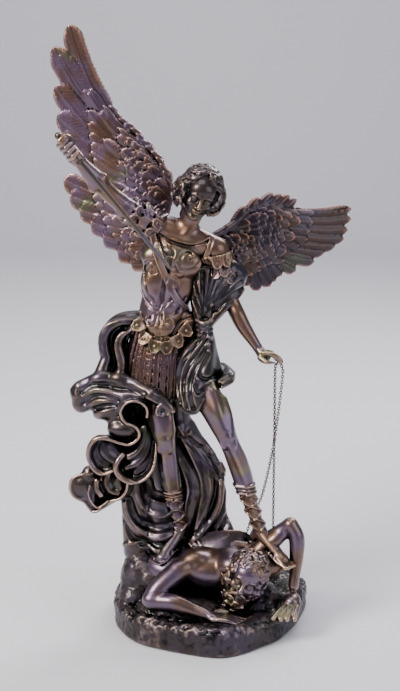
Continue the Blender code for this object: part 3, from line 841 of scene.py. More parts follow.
# Chain-side wing: the same patina as the sword-side wing, kept darker, partly as painted shade because this wing faces
# away from the key lamp.
CHAIN_WING_PATINA_AND_SHADE = BronzeFinish("#050404", "#3e2b24", "#3a2f3a", "#3b3a30", "#a2765f", 0.26, 0.38, 0.00014, "#8a7076")
LEATHER = BronzeFinish("#060505", "#553e32", "#523f45", "#504a34", "#ab876b", 0.22, 0.32, cool="#967a6b")
# Sword-side wing: a lighter, pinker copy of the wing patina, partly its own tint and partly painted light.
SWORD_WING_TINT_AND_LIGHT = BronzeFinish("#070606", "#564038", "#5c4a5e", "#525141", "#ad8674", 0.24, 0.36, 0.00014, "#957c8a")
HAIR = BronzeFinish("#070606", "#43352a", "#3f3437", "#45432f", "#957960", 0.25, 0.35)
ROCK = BronzeFinish("#080707", "#3d3434", "#443c48", "#3b3935", "#86756b", 0.38, 0.50, 0.0003, "#776a74", 0.4)
BLADE = BronzeFinish("#0c0a09", "#332b27", "#38313a", "#36332d", "#6a5a4c", 0.24, 0.36, 0.00005, "#5a5058")
LINKS = BronzeFinish("#100c0a", "#4a3a33", "#4f423f", "#4a4436", "#9c7e68", 0.28, 0.40, 0.00003)


class Surface:
    """Builds one node tree, a step at a time."""

    def __init__(self, name: str) -> None:
        """Starts from a plain material.

        Args:
            name: the material's name.
        """
        self.material = bpy.data.materials.new(name)
        self.material.use_nodes = True
        self.tree = self.material.node_tree
        self.shader = self.tree.nodes["Principled BSDF"]

    def node(self, kind: str, settings: dict[str, str] | None = None, **links: object) -> bpy.types.Node:
        """Adds a node, sets it up and links its inputs.

        Args:
            kind: the node's type name.
            settings: attributes of the node.
            **links: input name, with underscores for spaces, to a socket or a value; in0 stands for the first input.

        Returns:
            The node.
        """
        made = self.tree.nodes.new(kind)
        for key, value in (settings or {}).items():
            setattr(made, key, value)
        for key, value in links.items():
            place = int(key[2:]) if key[:2] == "in" and key[2:].isdigit() else key.replace("_", " ")
            if isinstance(value, bpy.types.NodeSocket):
                self.tree.links.new(value, made.inputs[place])
            else:
                made.inputs[place].default_value = value
        return made

    def ramp(self, source: Socket, low: float, high: float) -> Socket:
        """A value stretched so that low becomes 0 and high becomes 1.

        Args:
            source: the socket to stretch.
            low: the value that becomes 0.
            high: the value that becomes 1.

        Returns:
            The stretched socket.
        """
        return self.node("ShaderNodeMapRange", {"interpolation_type": "SMOOTHSTEP"}, Value=source,
                         From_Min=low, From_Max=high).outputs["Result"]

    def mix(self, factor: Socket, first: Socket | tuple, second: Socket | tuple) -> Socket:
        """A blend of two colours.

        Args:
            factor: its socket, 0 for the first colour.
            first: socket or colour.
            second: socket or colour.

        Returns:
            The blended colour's socket.
        """
        return self.node("ShaderNodeMix", {"data_type": "RGBA"}, in0=factor, in6=first, in7=second).outputs[2]

    def calculate(self, operation: str, first: Socket, *others: Socket | float) -> Socket:
        """One sum worked out from sockets and numbers.

        Args:
            operation: its name.
            first: the first input.
            *others: the inputs after it.

        Returns:
            The result's socket.
        """
        inputs = {f"in{place}": value for place, value in enumerate((first, *others))}
        return self.node("ShaderNodeMath", {"operation": operation}, **inputs).outputs[0]

    def noise(self, where: Socket, scale: float, **settings: float) -> Socket:
        """A noise pattern of a real size.

        Args:
            where: the coordinates' socket.
            scale: how many of its coarsest lumps lie in a metre.
            **settings: further inputs of the node.

        Returns:
            The pattern's socket.
        """
        return self.node("ShaderNodeTexNoise", Vector=where, Scale=scale, **settings).outputs["Fac"]


def bronze(name: str, finish: BronzeFinish) -> bpy.types.Material:
    """A bronze patina whose ridges are rubbed metal and partly a painted highlight, with painted shade in creases and
    where the casting shelters a point.

    Args:
        name: the material's name.
        finish: its colours and gloss.

    Returns:
        The material.
    """
    s = Surface(name)
    where = s.node("ShaderNodeTexCoord").outputs["Object"]
    wear_and_light = s.node("ShaderNodeAttribute", {"attribute_name": "wear_and_light"}).outputs["Fac"]
    occlusion_shade = s.node("ShaderNodeAttribute", {"attribute_name": "occlusion_shade"}).outputs["Fac"]
    drift = s.noise(where, DRIFT, Detail=3.0, Roughness=0.55)
    mottle = s.noise(where, MOTTLE, Detail=5.0, Roughness=0.6)
    film = s.noise(where, FILM, Detail=2.0, Distortion=0.6)
    body = s.mix(s.ramp(drift, 0.40, 0.62), linear(finish.body), linear(finish.tint))
    green = s.mix(s.ramp(film, 0.56, 0.74), body, linear(finish.film))
    # Painted highlight over real wear: where the ridge value is high the colour turns to a lighter copper, partly
    # metal rubbed bare and partly a painted highlight, and the surface turns glossier.
    rubbed_and_highlight = s.ramp(s.calculate("MULTIPLY_ADD", mottle, 0.25, wear_and_light), 0.66, 1.18)
    metal = s.mix(s.ramp(drift, 0.35, 0.7), linear(finish.rubbed_and_highlight), linear(finish.cool))
    worn_and_highlight = s.mix(rubbed_and_highlight, green, metal)
    # Painted shade: creases, where the ridge value is low, and points that nearby solid shelters are mixed toward the
    # near-black shade colour.
    crease_shade = s.ramp(s.calculate("MULTIPLY_ADD", wear_and_light, -1.9, 0.72), 0.0, 0.75)
    painted_shade_mask = s.calculate("MAXIMUM", crease_shade, s.ramp(occlusion_shade, 0.30, 0.95))
    shaded = s.mix(painted_shade_mask, worn_and_highlight, linear(finish.painted_shade_colour))
    s.tree.links.new(shaded, s.shader.inputs["Base Color"])
    gloss = s.node("ShaderNodeMapRange", Value=rubbed_and_highlight, To_Min=finish.dull,
                   To_Max=finish.gloss).outputs["Result"]
    s.tree.links.new(s.calculate("MULTIPLY_ADD", mottle, 0.16, gloss), s.shader.inputs["Roughness"])
    s.shader.inputs["Metallic"].default_value = 1.0
    s.shader.inputs["Coat Weight"].default_value = finish.coat
    s.shader.inputs["Coat Roughness"].default_value = 0.10
    height = s.noise(where, GRAIN, Detail=4.0, Roughness=0.6)
    bump = s.node("ShaderNodeBump", Height=height, Distance=finish.grain * 2.5, Strength=0.6)
    s.tree.links.new(bump.outputs["Normal"], s.shader.inputs["Normal"])
    return s.material


@dataclass
class Piece:
    """A finished piece, waiting for its patina.

    Attributes:
        name: the object's name.
        node: the solid it stands for.
        finish: its bronze.
        points: positions in millimetres.
        faces: triangles or quads.
        wear_and_light: 0 to 1 for each point, high on ridges, where rubbed wear and a painted highlight go, and low in
            creases, where shade is painted.
    """

    name: str
    node: Node
    finish: BronzeFinish
    points: np.ndarray
    faces: np.ndarray
    wear_and_light: np.ndarray

    def triangles(self) -> int:
        """How many triangles the piece has.

        Returns:
            The count.
        """
        return len(self.faces) * (self.faces.shape[1] - 2)

    def place(self, around: Surroundings) -> bpy.types.Object:
        """Makes the Blender object.

        Args:
            around: what the whole casting fills.

        Returns:
            The object, riding its body.
        """
        normals = normals_of(self.points, self.faces)
        mesh = bpy.data.meshes.new(self.name)
        mesh.from_pydata(self.points * MM, [], self.faces)
        mesh.update()
        mesh.shade_smooth()
        # Masks for the material: how sheltered each point is, painted as shade, and how far it stands proud, painted
        # as rubbed wear and highlight on ridges and as shade in creases.
        values = {"wear_and_light": self.wear_and_light, "occlusion_shade": around.shelter(self.points, normals)}
        for key, value in values.items():
            mesh.attributes.new(key, "FLOAT", "POINT").data.foreach_set("value", value.astype(np.float32))
        mesh.materials.append(bronze(f"bronze_{self.name}", self.finish))
        made = bpy.data.objects.new(self.name, mesh)
        bpy.context.scene.collection.objects.link(made)
        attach(made, "root")
        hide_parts(self.node.value)
        LOG.info("%s: %d triangles, hollow %.2f, wear %.2f", self.name, self.triangles(),
                 float(values["occlusion_shade"].mean()), float(self.wear_and_light.mean()))
        return made


def ridge_wear_and_light(block: Block, points: np.ndarray, near: float = 2.2) -> np.ndarray:
    """How far each point stands proud of its neighbourhood, for rubbed wear with a painted highlight on ridges and
    painted shade in creases.

    Args:
        block: the clay it belongs to.
        points: positions on its surface, in the block's own space.
        near: the neighbourhood's half width in millimetres.

    Returns:
        About 0.5 on the flat, more on ridges and less in creases.
    """
    solid = np.clip(0.5 - block.field / block.voxel, 0, 1)
    small = blurred(solid, max(1, int(round(near / block.voxel))))
    large = blurred(small, max(2, int(round(2 * near / block.voxel))))
    fine = 0.5 - sampled(small, block.low, block.voxel, points)
    broad = 0.5 - sampled(large, block.low, block.voxel, points)
    return np.clip(0.42 + 1.5 * fine + 1.1 * broad, 0, 1)


class Sculpture:
    """Common steps of a sculpted sub-assembly: build the clay, skin it, note how far each point stands proud, which
    the material paints as rubbed wear with highlight on ridges and as shade in creases.

    Attributes:
        name: the piece's name.
        finish: its bronze.
        budget: the most triangles that it may have.
    """

    name: str = ""
    finish: BronzeFinish = FLESH
    budget: int = 62000

    def block(self) -> Block:
        """The clay with everything pressed in.

        Returns:
            The block.
        """
        raise NotImplementedError

    def relief(self, points: np.ndarray) -> np.ndarray:
        """Extra height over the skin.

        Args:
            points: positions on the skin.

        Returns:
            Millimetres along each normal.
        """
        return np.zeros(len(points))

    def frame(self) -> np.ndarray | None:
        """Where the block's own space lies in the world.

        Returns:
            A 4 by 4 matrix, or None where the block is already in the world.
        """
        return None

    def piece(self, around: Surroundings) -> Piece:
        """Builds the piece and marks what it fills.

        Args:
            around: the map to mark.

        Returns:
            The piece.
        """
        clay = self.block()
        points, quads = clay.skin()
        points = points + normals_of(points, quads) * self.relief(points)[:, None]
        points, faces = lighter(points, quads, self.budget)
        wear_and_light = ridge_wear_and_light(clay, points)
        move = self.frame()
        around.add(clay, move)
        if move is not None:
            points = points @ move[:3, :3].T + move[:3, 3]
        return Piece(self.name, Node.STATUE, self.finish, points, faces, wear_and_light)


@dataclass
class Torso(Sculpture):
    """Cuirass, neck and arms of the archangel, with both hands.

    Attributes:
        line: radius of the cuirass's raised ornament.
        finger: radius of a finger.
    """

    name: str = "angel_torso"
    finish: BronzeFinish = ARMOUR
    line: float = 1.3
    finger: float = 3.1
    budget: int = 112000

    def block(self) -> Block:
        """Body and arms first, then what is laid on them.

        Returns:
            The clay.
        """
        clay = Block((-196, -92, 344), (106, 42, 630), 0.9)
        self.trunk(clay)
        self.sword_arm(clay)
        self.chain_arm(clay)
        self.ornament(clay)
        self.lappets(clay)
        return clay

    def trunk(self, clay: Block) -> None:
        """Belly, ribs, chest and neck.

        Args:
            clay: the block to press them into.
        """
        clay.ball((-57, 2, 402), (30, 23, 36), (0, 6, 0))
        clay.ball((-26, 0, 386), (15, 16, 18), soft=6)
        clay.ball((-61, -5, 386), (23, 20, 20), (0, 0, 0), 8)
        clay.ball((-51, 2, 438), (34, 23, 36), (0, 10, 0), 7)
        clay.ball((-46, 2, 468), (40, 25, 27), (0, 14, 0), 7)
        clay.ball((-31, -14, 464), (20, 9, 15), (0, 14, 0), 7)
        clay.ball((-66, -13, 468), (16, 8, 13), (0, 20, 0), 7)
        clay.ball((-71, -13, 440), (9, 7, 18), (0, 8, 0), 6)
        clay.ball((-41, -19, 453), (8, 6, 7), soft=4)
        clay.ball((-58, -19, 386), (16, 8, 15), soft=6)
        clay.ball((-62, 4, 364), (34, 24, 18), soft=6)
        clay.limb([(-62, 4, 506, 15), (-34, 2, 496, 17), (4, 0, 480, 14)], 6)
        clay.limb([(-30, 4, 488, 15), (-27, -2, 508, 12), (-21, -6, 526, 12)], 6)
        clay.limb([(-10, -8, 526, 3.6), (-20, -9, 510, 3.2), (-31, -13, 497, 2.8)], 5)
        for x, z in ((-66, 426), (-48, 430), (-67, 409), (-50, 411)):
            clay.ball((x, clay.front(x, z) + 4.6, z), (9, 5.6, 8.5), (0, 12, 0), 4)
        clay.trace([(-47, 478), (-52, 456), (-57, 436), (-60, 410)], 1.8, 0.25, 4.5, True)

    def sword_arm(self, clay: Block) -> None:
        """The raised arm and the fist round the sword's grip.

        Args:
            clay: the block to press it into.
        """
        clay.ball((-71, 0, 510), (17, 17, 15), (0, -20, 0), 5)
        clay.limb([(-72, 2, 508, 14), (-92, -12, 524, 12.5), (-112, -27, 542, 11), (-120, -33, 550, 10.5),
                   (-134, -43, 566, 11), (-145, -51, 580, 8.5), (-153, -57, 591, 7.0)], 4)
        clay.ball((-100, -24, 528), (14, 8, 8), (0, -38, 0), 5)
        clay.ball((-131, -46, 562), (14, 7, 7), (0, -46, 0), 5)
        along, across, face = sword_axes()

        def axis(distance: float) -> np.ndarray:
            """A place on the sword's middle line, this far from the pommel's end."""
            return np.array(POMMEL_END, float) + along * distance

        clay.ball(axis(22) - face * 7 - across * 1.5, (8.5, 6.0, 12.5), (0, -39, 0), 3)
        clay.limb([(-153, -57, 591, 7.0), (*(axis(30) - face * 7), 7.4)], 3)
        for k in range(4):
            at = 13.0 + 6.2 * k
            reach = self.finger + 3.2
            arc = []
            for i, a in enumerate(np.radians((238, 205, 172, 140, 105, 70, 40))):
                knuckle = 1.9 if i in (1, 4) else 0.0
                way = across * math.cos(a) + face * math.sin(a)
                arc.append((*(axis(at + (0.5 if i > 3 else 0)) + way * (reach + knuckle)),
                            self.finger * (1.08 if i in (1, 4) else 0.95)))
            clay.limb(arc, 0.4)
        thumb = [(*(axis(20) - face * 7 + across * 6), 3.8), (*(axis(13) + across * 8), 3.6),
                 (*(axis(8.6) + across * 5 + face * 6), 3.3), (*(axis(9) + face * 8 - across * 2), 2.8)]
        clay.limb(thumb, 0.8)

    def chain_arm(self, clay: Block) -> None:
        """The lowered arm, with the hand that lets the chain run over its fingers.

        Args:
            clay: the block to press it into.
        """
        clay.ball((6, 2, 474), (15, 15, 16), (0, 20, 0), 5)
        clay.limb([(8, 2, 478, 13), (14, 4, 456, 12), (19, 2, 436, 10.5), (25, 0, 416, 9.2),
                   (31, -3, 402, 9.6), (40, -9, 385, 8.8), (53, -15, 366, 6.4), (60, -18, 356, 6.0)], 4)
        clay.ball((34, -8, 398), (6, 6, 11), (0, -30, 0), 4)
        clay.ball((64, -21, 353), (9.5, 7, 7.0), (0, 38, 0), 3)
        for k in range(4):
            y = -28.5 + 5.4 * k
            drop = (0, 1.5, 2.5, 2)[k]
            clay.limb([(64, y + 3, 356 - drop, 3.6), (74, y, 355 - drop, 3.2),
                       (82 - drop, y - 1, 350 - drop, 3.0), (85 - drop, y, 343 - drop, 2.8),
                       (82 - drop, y, 337 - drop, 2.5)], 0.5)
        clay.limb([(60, -25, 350, 4.2), (68, -31, 345, 3.6), (76, -31, 343, 3.0), (80, -29, 342, 2.6)], 1.2)

    def ornament(self, clay: Block) -> None:
        """Collar, scrolls, straps and belly rim in relief.

        Args:
            clay: the block to lay them on.
        """
        belly = [(-90, 404), (-86, 399), (-82, 391), (-80, 382), (-72, 373), (-60, 370), (-48, 372),
                 (-42, 381), (-34, 391), (-24, 395), (-14, 394)]
        collar = [(-66, 505), (-60, 500), (-54, 497), (-48, 493), (-34, 489), (-22, 487), (-10, 490),
                  (0, 495)]
        for rim, inner in ((belly, 4.4), (collar, -4.4)):
            clay.trace([(x, z + inner * 0.55) for x, z in rim], 3.0, -0.55, 0.8, True)
            clay.trace(rim, 1.9, -0.1, 0.8)
            clay.trace([(x, z + inner) for x, z in rim], 1.1, 0.0, 0.6)
        scrolls = ([(-63, 378), (-63, 391), (-64, 405), (-68, 417), (-77, 428), (-80, 445), (-79, 456)],
                   [(-62, 391), (-60, 407), (-55, 415), (-48, 420)],
                   [(-60, 402), (-60, 396), (-57, 391), (-52, 387), (-47, 388), (-45, 393), (-49, 396),
                    (-52, 393)], [(-65, 402), (-67, 395), (-72, 390), (-77, 391), (-79, 396), (-75, 399)],
                   [(-64, 408), (-72, 411), (-79, 418), (-84, 428)],
                   [(-81, 452), (-79, 462), (-72, 467), (-65, 463), (-64, 456), (-69, 452), (-74, 456),
                    (-71, 459)], [(-37, 464), (-36, 472), (-31, 479), (-24, 479), (-20, 474), (-24, 470)],
                   [(-40, 466), (-36, 459), (-29, 456), (-20, 458), (-13, 464)],
                   [(-58, 490), (-54, 484), (-48, 482)], [(-56, 482), (-51, 476), (-46, 475)],
                   [(-46, 424), (-40, 430), (-38, 440), (-42, 448)], [(-40, 404), (-34, 411), (-30, 420)])
        for scroll in scrolls:
            clay.trace(scroll, self.line + 1.5, -0.62, 0.8, True)
            clay.trace(scroll, self.line, -0.05, 0.5)
        for x, z in ((-52, 391), (-75, 395), (-71, 457), (-24, 473), (-50, 486), (-58, 478), (-45, 404)):
            for _, y, _ in clay.on_front([(x, z)], 0.2):
                clay.ball((x, y, z), (2.2, 1.6, 2.2), soft=0.5)
        straps = Loft()
        for line, wide in (([(-70, 500), (-67, 486), (-63, 471), (-53, 446), (-43, 425), (-29, 405),
                             (-10, 385)], 8.4), ([(2, 494), (0, 487), (-4, 476), (-9, 463), (-11, 444)], 6.4),
                           ([(-60, 508), (-64, 502), (-65, 494), (-61, 480), (-57, 468)], 5.6)):
            straps.strap(clay.on_front(line, 0.9), (0, -1, 0), wide, 3.0, 1.3)
        clay.shells(straps, 0.6)
        for band, r in (([(-49, 521), (-57, 517), (-63, 513), (-70, 505), (-74, 499), (-77, 492)], 2.6),
                        ([(-4, 455), (7, 465), (20, 470), (30, 472)], 2.2)):
            clay.trace(band, r, -0.1, 0.8)

    def lappets(self, clay: Block) -> None:
        """Rows of rounded tabs over both shoulders.

        Args:
            clay: the block to lay them on.
        """
        rows = (((-76, 0, 511), (-0.72, -0.50, 0.55), -75, 5, 14.0),
                ((-85, -6, 519), (-0.72, -0.50, 0.58), -90, 6, 13.0),
                ((-94, -13, 527), (-0.72, -0.50, 0.60), -75, 6, 12.0),
                ((6, 3, 464), (0.18, 0.0, -1.0), -86, 6, 15.0),
                ((10, 4, 452), (0.22, 0.0, -1.0), -70, 6, 14.0),
                ((14, 3, 441), (0.22, -0.05, -1.0), -86, 6, 13.0))
        for middle, run, turn, count, size in reversed(rows):
            run = unit(run)
            first = unit(np.cross(run, (0, 1, 0)))
            second = np.cross(first, run)
            tabs = Loft()
            for k in range(count):
                a = math.radians(turn + (k - count // 2) * 36)
                way = first * math.cos(a) + second * math.sin(a)
                ends = []
                for shift, lift in ((-0.55, 0.2), (0.55, 1.6)):
                    origin = np.array(middle) + run * size * shift
                    ends.append(origin + way * (min(clay.reach(origin, way, 30), 19) + lift))
                tabs.tab(ends[0], ends[1], way, 12.5, 3.0, 1.7)
            clay.shells(tabs, 0.2)


@dataclass
class Head(Sculpture):
    """A head in its own space: x to its left ear seen from the front, -y forward, z up, the skull's middle at 0.

    Attributes:
        centre: where the skull's middle lies.
        turn: how the head is turned, in degrees.
        size: its size beside a head 60 mm high.
        voxel: the clay's spacing.
        stern: how far the inner ends of the brows are lowered.
    """

    name: str = "head"
    finish: BronzeFinish = HAIR
    centre: Point = (0, 0, 0)
    turn: Point = (0, 0, 0)
    size: float = 1.0
    voxel: float = 0.66
    stern: float = 0.0

    def frame(self) -> np.ndarray:
        """How the head stands on its neck.

        Returns:
            A 4 by 4 matrix.
        """
        move = np.eye(4)
        move[:3, :3] = turned(self.turn) * self.size
        move[:3, 3] = self.centre
        return move

    def block(self) -> Block:
        """The face, then the hair.

        Returns:
            The clay.
        """
        clay = Block(HEAD_LOW, HEAD_HIGH, self.voxel)
        self.face(clay)
        self.hair(clay)
        return clay

    def as_it_stands(self, clay: Block) -> Block:
        """A copy of the clay, for curls to lie on while the clay itself grows.

        Args:
            clay: the head so far.

        Returns:
            The copy.
        """
        bare = Block(HEAD_LOW, HEAD_HIGH, self.voxel)
        bare.field = clay.field.copy()
        return bare

    def face(self, clay: Block) -> None:
        """A plain, evenly proportioned face.

        Args:
            clay: the block to press it into.
        """
        clay.ball((0, 3, 6), (19.5, 23, 20))
        clay.ball((0, -5, -7), (15.5, 16.5, 20), soft=6)
        clay.ball((0, -11, 9), (14.5, 9.5, 11), soft=5)
        clay.ball((0, -15.5, -24), (6.2, 6, 5), soft=4)
        clay.limb([(-14, 0, -10, 4.5), (-11.5, -4, -18, 4.5), (-5, -13, -25, 4)], 4)
        clay.limb([(14, 0, -10, 4.5), (11.5, -4, -18, 4.5), (5, -13, -25, 4)], 4)
        clay.limb([(0, 6, -14, 11.5), (0, 9, -34, 12)], 4)
        for side in (-1, 1):
            clay.ball((side * 9.8, -14.5, -7), (5, 4.5, 4), soft=4)
            clay.ball((side * 7.6, -21, -0.4), (5.4, 4.2, 3.6), (0, 0, side * -8), 2.5, True)
            clay.ball((side * 7.2, -16.2, -0.6), (4.3, 4.0, 3.4), soft=0.5)
            clay.limb([(side * 3.0, -19.6, 4.2 - self.stern, 1.3), (side * 7.5, -20.0, 5.6, 1.4),
                       (side * 12.3, -16.6, 3.6, 1.2)], 2)
            clay.limb([(side * 3.4, -18.8, 0.2, 0.7), (side * 7.2, -20.3, 2.2, 0.75),
                       (side * 11.4, -17.4, 0.2, 0.7)], 0.6)
            clay.limb([(side * 3.6, -18.6, -1.4, 0.6), (side * 7.2, -19.6, -3.2, 0.65),
                       (side * 11.2, -17.2, -1.0, 0.6)], 0.7)
            clay.ball((side * 3.0, -22.3, -9.2), (1.9, 2.2, 1.6), soft=1.4)
            clay.ball((side * 19, 2, -3), (2.6, 4.2, 6.5), (10, 0, 0), 1.5)
        clay.limb([(0, -20.2, 4.5, 2.0), (0, -22.5, -1, 1.9), (0, -25.3, -7.2, 2.3)], 2.5)
        clay.ball((0, -25.2, -8.4), (2.5, 2.4, 2.2), soft=1.5)
        clay.limb([(-5.2, -19.4, -15.0, 0.9), (-1.8, -22.4, -13.9, 1.25), (0, -22.3, -14.4, 1.1),
                   (1.8, -22.4, -13.9, 1.25), (5.2, -19.4, -15.0, 0.9)], 1)
        clay.limb([(-4.4, -19.6, -16.0, 0.9), (0, -21.8, -17.3, 1.6), (4.4, -19.6, -16.0, 0.9)], 1)
        clay.limb([(-5.6, -20.4, -15.4, 0.45), (0, -23.6, -15.5, 0.5), (5.6, -20.4, -15.4, 0.45)], 0.6, True)
        clay.ball((0, -21.5, -20.2), (4.5, 1.8, 1.6), soft=2, carve=True)

    def strands(self, clay: Block, path: Path, radius: float, spread: float = 1.5, seed: int = 0) -> None:
        """One lock: a few strands side by side that draw together at the end.

        Args:
            clay: the block to press it into.
            path: the lock's middle line.
            radius: half the thickness of one strand.
            spread: distance between neighbouring strands.
            seed: shifts the strands a little.
        """
        rng = np.random.default_rng(seed)
        line = spline(path, max(5, int(length_of(path) / 4)))
        run = np.gradient(line[:, :3], axis=0)
        out = line[:, :3] / np.linalg.norm(line[:, :3], axis=1, keepdims=True)
        side = np.cross(run, out)
        side /= np.maximum(np.linalg.norm(side, axis=1, keepdims=True), 1e-6)
        taper = np.linspace(1, 0, len(line))[:, None]
        for k in (-1, 0, 1):
            shift = k * spread * (0.35 + 0.65 * taper) + rng.uniform(-0.2, 0.2)
            lift = (0.5 if k == 0 else 0.0) + rng.uniform(-0.2, 0.2)
            at = line[:, :3] + side * shift + out * lift
            thick = radius * (0.55 + 0.45 * np.sqrt(taper[:, 0]))
            clay.limb([(*p, r) for p, r in zip(at, thick)], 0.25)

    def snail(self, clay: Block, at: np.ndarray, out: np.ndarray, size: float, radius: float,
              seed: int) -> None:
        """A curl wound like a snail's shell against the mass of the hair.

        Args:
            clay: the block to press it into.
            at: its middle.
            out: the way it faces.
            size: its own radius.
            radius: half the thickness of the lock.
            seed: turns it.
        """
        rng = np.random.default_rng(seed)
        out = unit(out)
        first = unit(np.cross(out, rng.uniform(-1, 1, 3)))
        second = np.cross(out, first) * rng.choice((-1, 1))
        for back in (0.2, 0.55):
            clay.limb([(*(at - out * size * back), size * 0.72),
                       (*(at - out * size * back * 1.6), size * 0.72)], 1.0)
        path = []
        for t in np.linspace(0, 1, 14):
            a, r = 8.6 * t, size * (1 - 0.84 * t)
            place = at + first * r * math.cos(a) + second * r * math.sin(a) + out * (0.36 * size * t - 0.4)
            path.append((*place, radius * (1 - 0.25 * t)))
        clay.limb(path, 0.25)

    def over_skull(self, polar: float, azimuth: float, lift: float = 0.0) -> tuple[float, float, float]:
        """A point on the skull.

        Args:
            polar: degrees from the crown.
            azimuth: degrees about the head, -90 at the face.
            lift: how far above the skull it lies.

        Returns:
            The point.
        """
        p, a = math.radians(polar), math.radians(azimuth)
        size = (20.5 + lift, 24.0 + lift, 21.0 + lift)
        return (size[0] * math.sin(p) * math.cos(a), 3 + size[1] * math.sin(p) * math.sin(a),
                6 + size[2] * math.cos(p))

    def on_hair(self, clay: Block, polar: float, azimuth: float, lift: float) -> np.ndarray:
        """A point on the surface of the hair.

        Args:
            clay: the block as it stands.
            polar: degrees from the crown.
            azimuth: degrees about the head, -90 at the face.
            lift: how far above the surface it lies.

        Returns:
            The point.
        """
        p, a = math.radians(polar), math.radians(azimuth)
        way = np.array([math.sin(p) * math.cos(a), math.sin(p) * math.sin(a), math.cos(p)])
        middle = np.array([0.0, 4.0, 4.0])
        return middle + way * (clay.reach(middle, way, 56) + lift)

    def hair(self, clay: Block) -> None:
        """The hair; each figure has its own.

        Args:
            clay: the block to press it into; not used in this version.
        """


@dataclass
class AngelHead(Head):
    """The archangel's bowed head, with full waves that part in the middle and curl beside the jaw.

    The hair is shaped with the skull it grows on, so the head has one finish.
    """

    name: str = "angel_head"
    centre: Point = (-13, -15, 546)
    turn: Point = (20, 20, 10)
    size: float = 0.98
    budget: int = 66000

    def hair(self, clay: Block) -> None:
        """Rows of waves over the skull, and curls at the sides and the nape.

        Args:
            clay: the block to press them into.
        """
        clay.ball((0, 8, 10), (22.5, 23, 21), soft=1.5)
        for side in (-1, 1):
            clay.ball((side * 21, 4, -4), (9, 14, 17), soft=4)
        clay.ball((0, 15, -12), (22, 14, 20), soft=4)
        bare = self.as_it_stands(clay)
        for layer, (start, reach) in enumerate(((3, 66), (26, 92), (50, 120), (76, 138))):
            for k in range(15):
                az = -90 + 360 * (k + 0.5 * (layer % 2) + 0.25) / 15
                front = max(math.cos(math.radians(az + 90)), 0)
                side = 1 if (az + 90) % 360 < 180 else -1
                if layer and front > (1.2, 0.82, 0.62, 0.40)[layer]:
                    continue
                path = []
                for t in np.linspace(0, 1, 9):
                    polar = start + (reach * (1 - 0.06 * front) - start) * t
                    wave = (6 + 5 * t) * math.sin(8.5 * t + 1.9 * k + layer)
                    turn = side * 58 * front * t
                    rise = 0.6 + 1.3 * math.sin(8.5 * t + 2.3 * k)
                    path.append(self.on_hair(bare, polar, az + turn + wave, rise))
                self.strands(clay, path, 2.2, 2.4, 31 * layer + k)
        rng = np.random.default_rng(SEED)
        for side in (-1, 1):
            for polar, count in ((84, 3), (102, 4), (120, 4), (136, 4)):
                for k in range(count):
                    azimuth = -90 + side * (48 + (150 - 48) * (k + rng.uniform(0.2, 0.8)) / count)
                    at = self.on_hair(bare, polar + rng.uniform(-4, 4), azimuth, 1.6)
                    self.snail(clay, at, unit(at - (0, 4, 4)), rng.uniform(5.2, 6.4), 1.8,
                               int(rng.integers(1 << 30)))


@dataclass
class DemonHead(Head):
    """The demon's bearded head, propped on the rock.

    Attributes:
        beard: how many curls the beard is tried with.
    """

    name: str = "demon_head"
    finish: BronzeFinish = FLESH
    centre: Point = (43, -54, 82)
    turn: Point = (8, 26, -6)
    size: float = 1.04
    stern: float = 1.6
    beard: int = 66
    budget: int = 76000

    def hair(self, clay: Block) -> None:
        """Tight curls over the skull, a curled beard, a moustache and brows.

        Args:
            clay: the block to press them into.
        """
        rng = np.random.default_rng(SEED + 1)
        clay.ball((0, 8, 8), (22.5, 22, 21), soft=2)
        for side in (-1, 1):
            clay.ball((side * 17.5, 2, -6), (7.5, 12, 16), soft=4)
        clay.ball((0, -10, -26), (14, 9.5, 12), soft=5)
        clay.ball((0, -8, -37), (9, 7.5, 8), soft=5)
        bare = self.as_it_stands(clay)
        for ring, count in ((8, 3), (26, 11), (44, 17), (65, 16), (83, 17), (101, 16), (119, 14)):
            span = 360 if ring < 60 else 264
            for k in range(count):
                azimuth = -42 + span * (k + rng.uniform(0.2, 0.8)) / count
                at = self.on_hair(bare, ring + rng.uniform(-5, 5), azimuth, 0.8)
                self.snail(clay, at, unit(at - (0, 3, 4)), rng.uniform(3.9, 5.4), 1.3,
                           int(rng.integers(1 << 30)))
        for k in range(12):
            azimuth = -90 + 96 * (k - 5.5) / 5.5
            at = self.on_hair(bare, 46 + 14 * abs(k - 5.5) / 5.5, azimuth, 0.8)
            self.snail(clay, at, unit(at - (0, 3, 4)), 4.6, 1.3, k)
        for k in range(self.beard):
            polar = 116 + 10.5 * (k % 6) + rng.uniform(-3, 3)
            azimuth = -90 + 84 * ((k // 6) / 5.0 - 1) + rng.uniform(-5, 5)
            if abs(azimuth + 90) < 36 and polar < 126:
                continue
            at = self.on_hair(bare, polar, azimuth, 0.6)
            self.snail(clay, at, unit(at - (0, 0, -12)), rng.uniform(3.6, 5.0), 1.25,
                       int(rng.integers(1 << 30)))
        for side in (-1, 1):
            path = [(0, -23.8, -11.8), (side * 3.5, -24.0, -12.4), (side * 8, -21.5, -15),
                    (side * 11, -19.0, -20)]
            self.strands(clay, path, 1.4, 1.6, 5)
            self.strands(clay, [(side * 3, -20.5, 5.0), (side * 8, -21.0, 7.2), (side * 13, -17.0, 5.0)], 1.0,
                         1.0, 6)


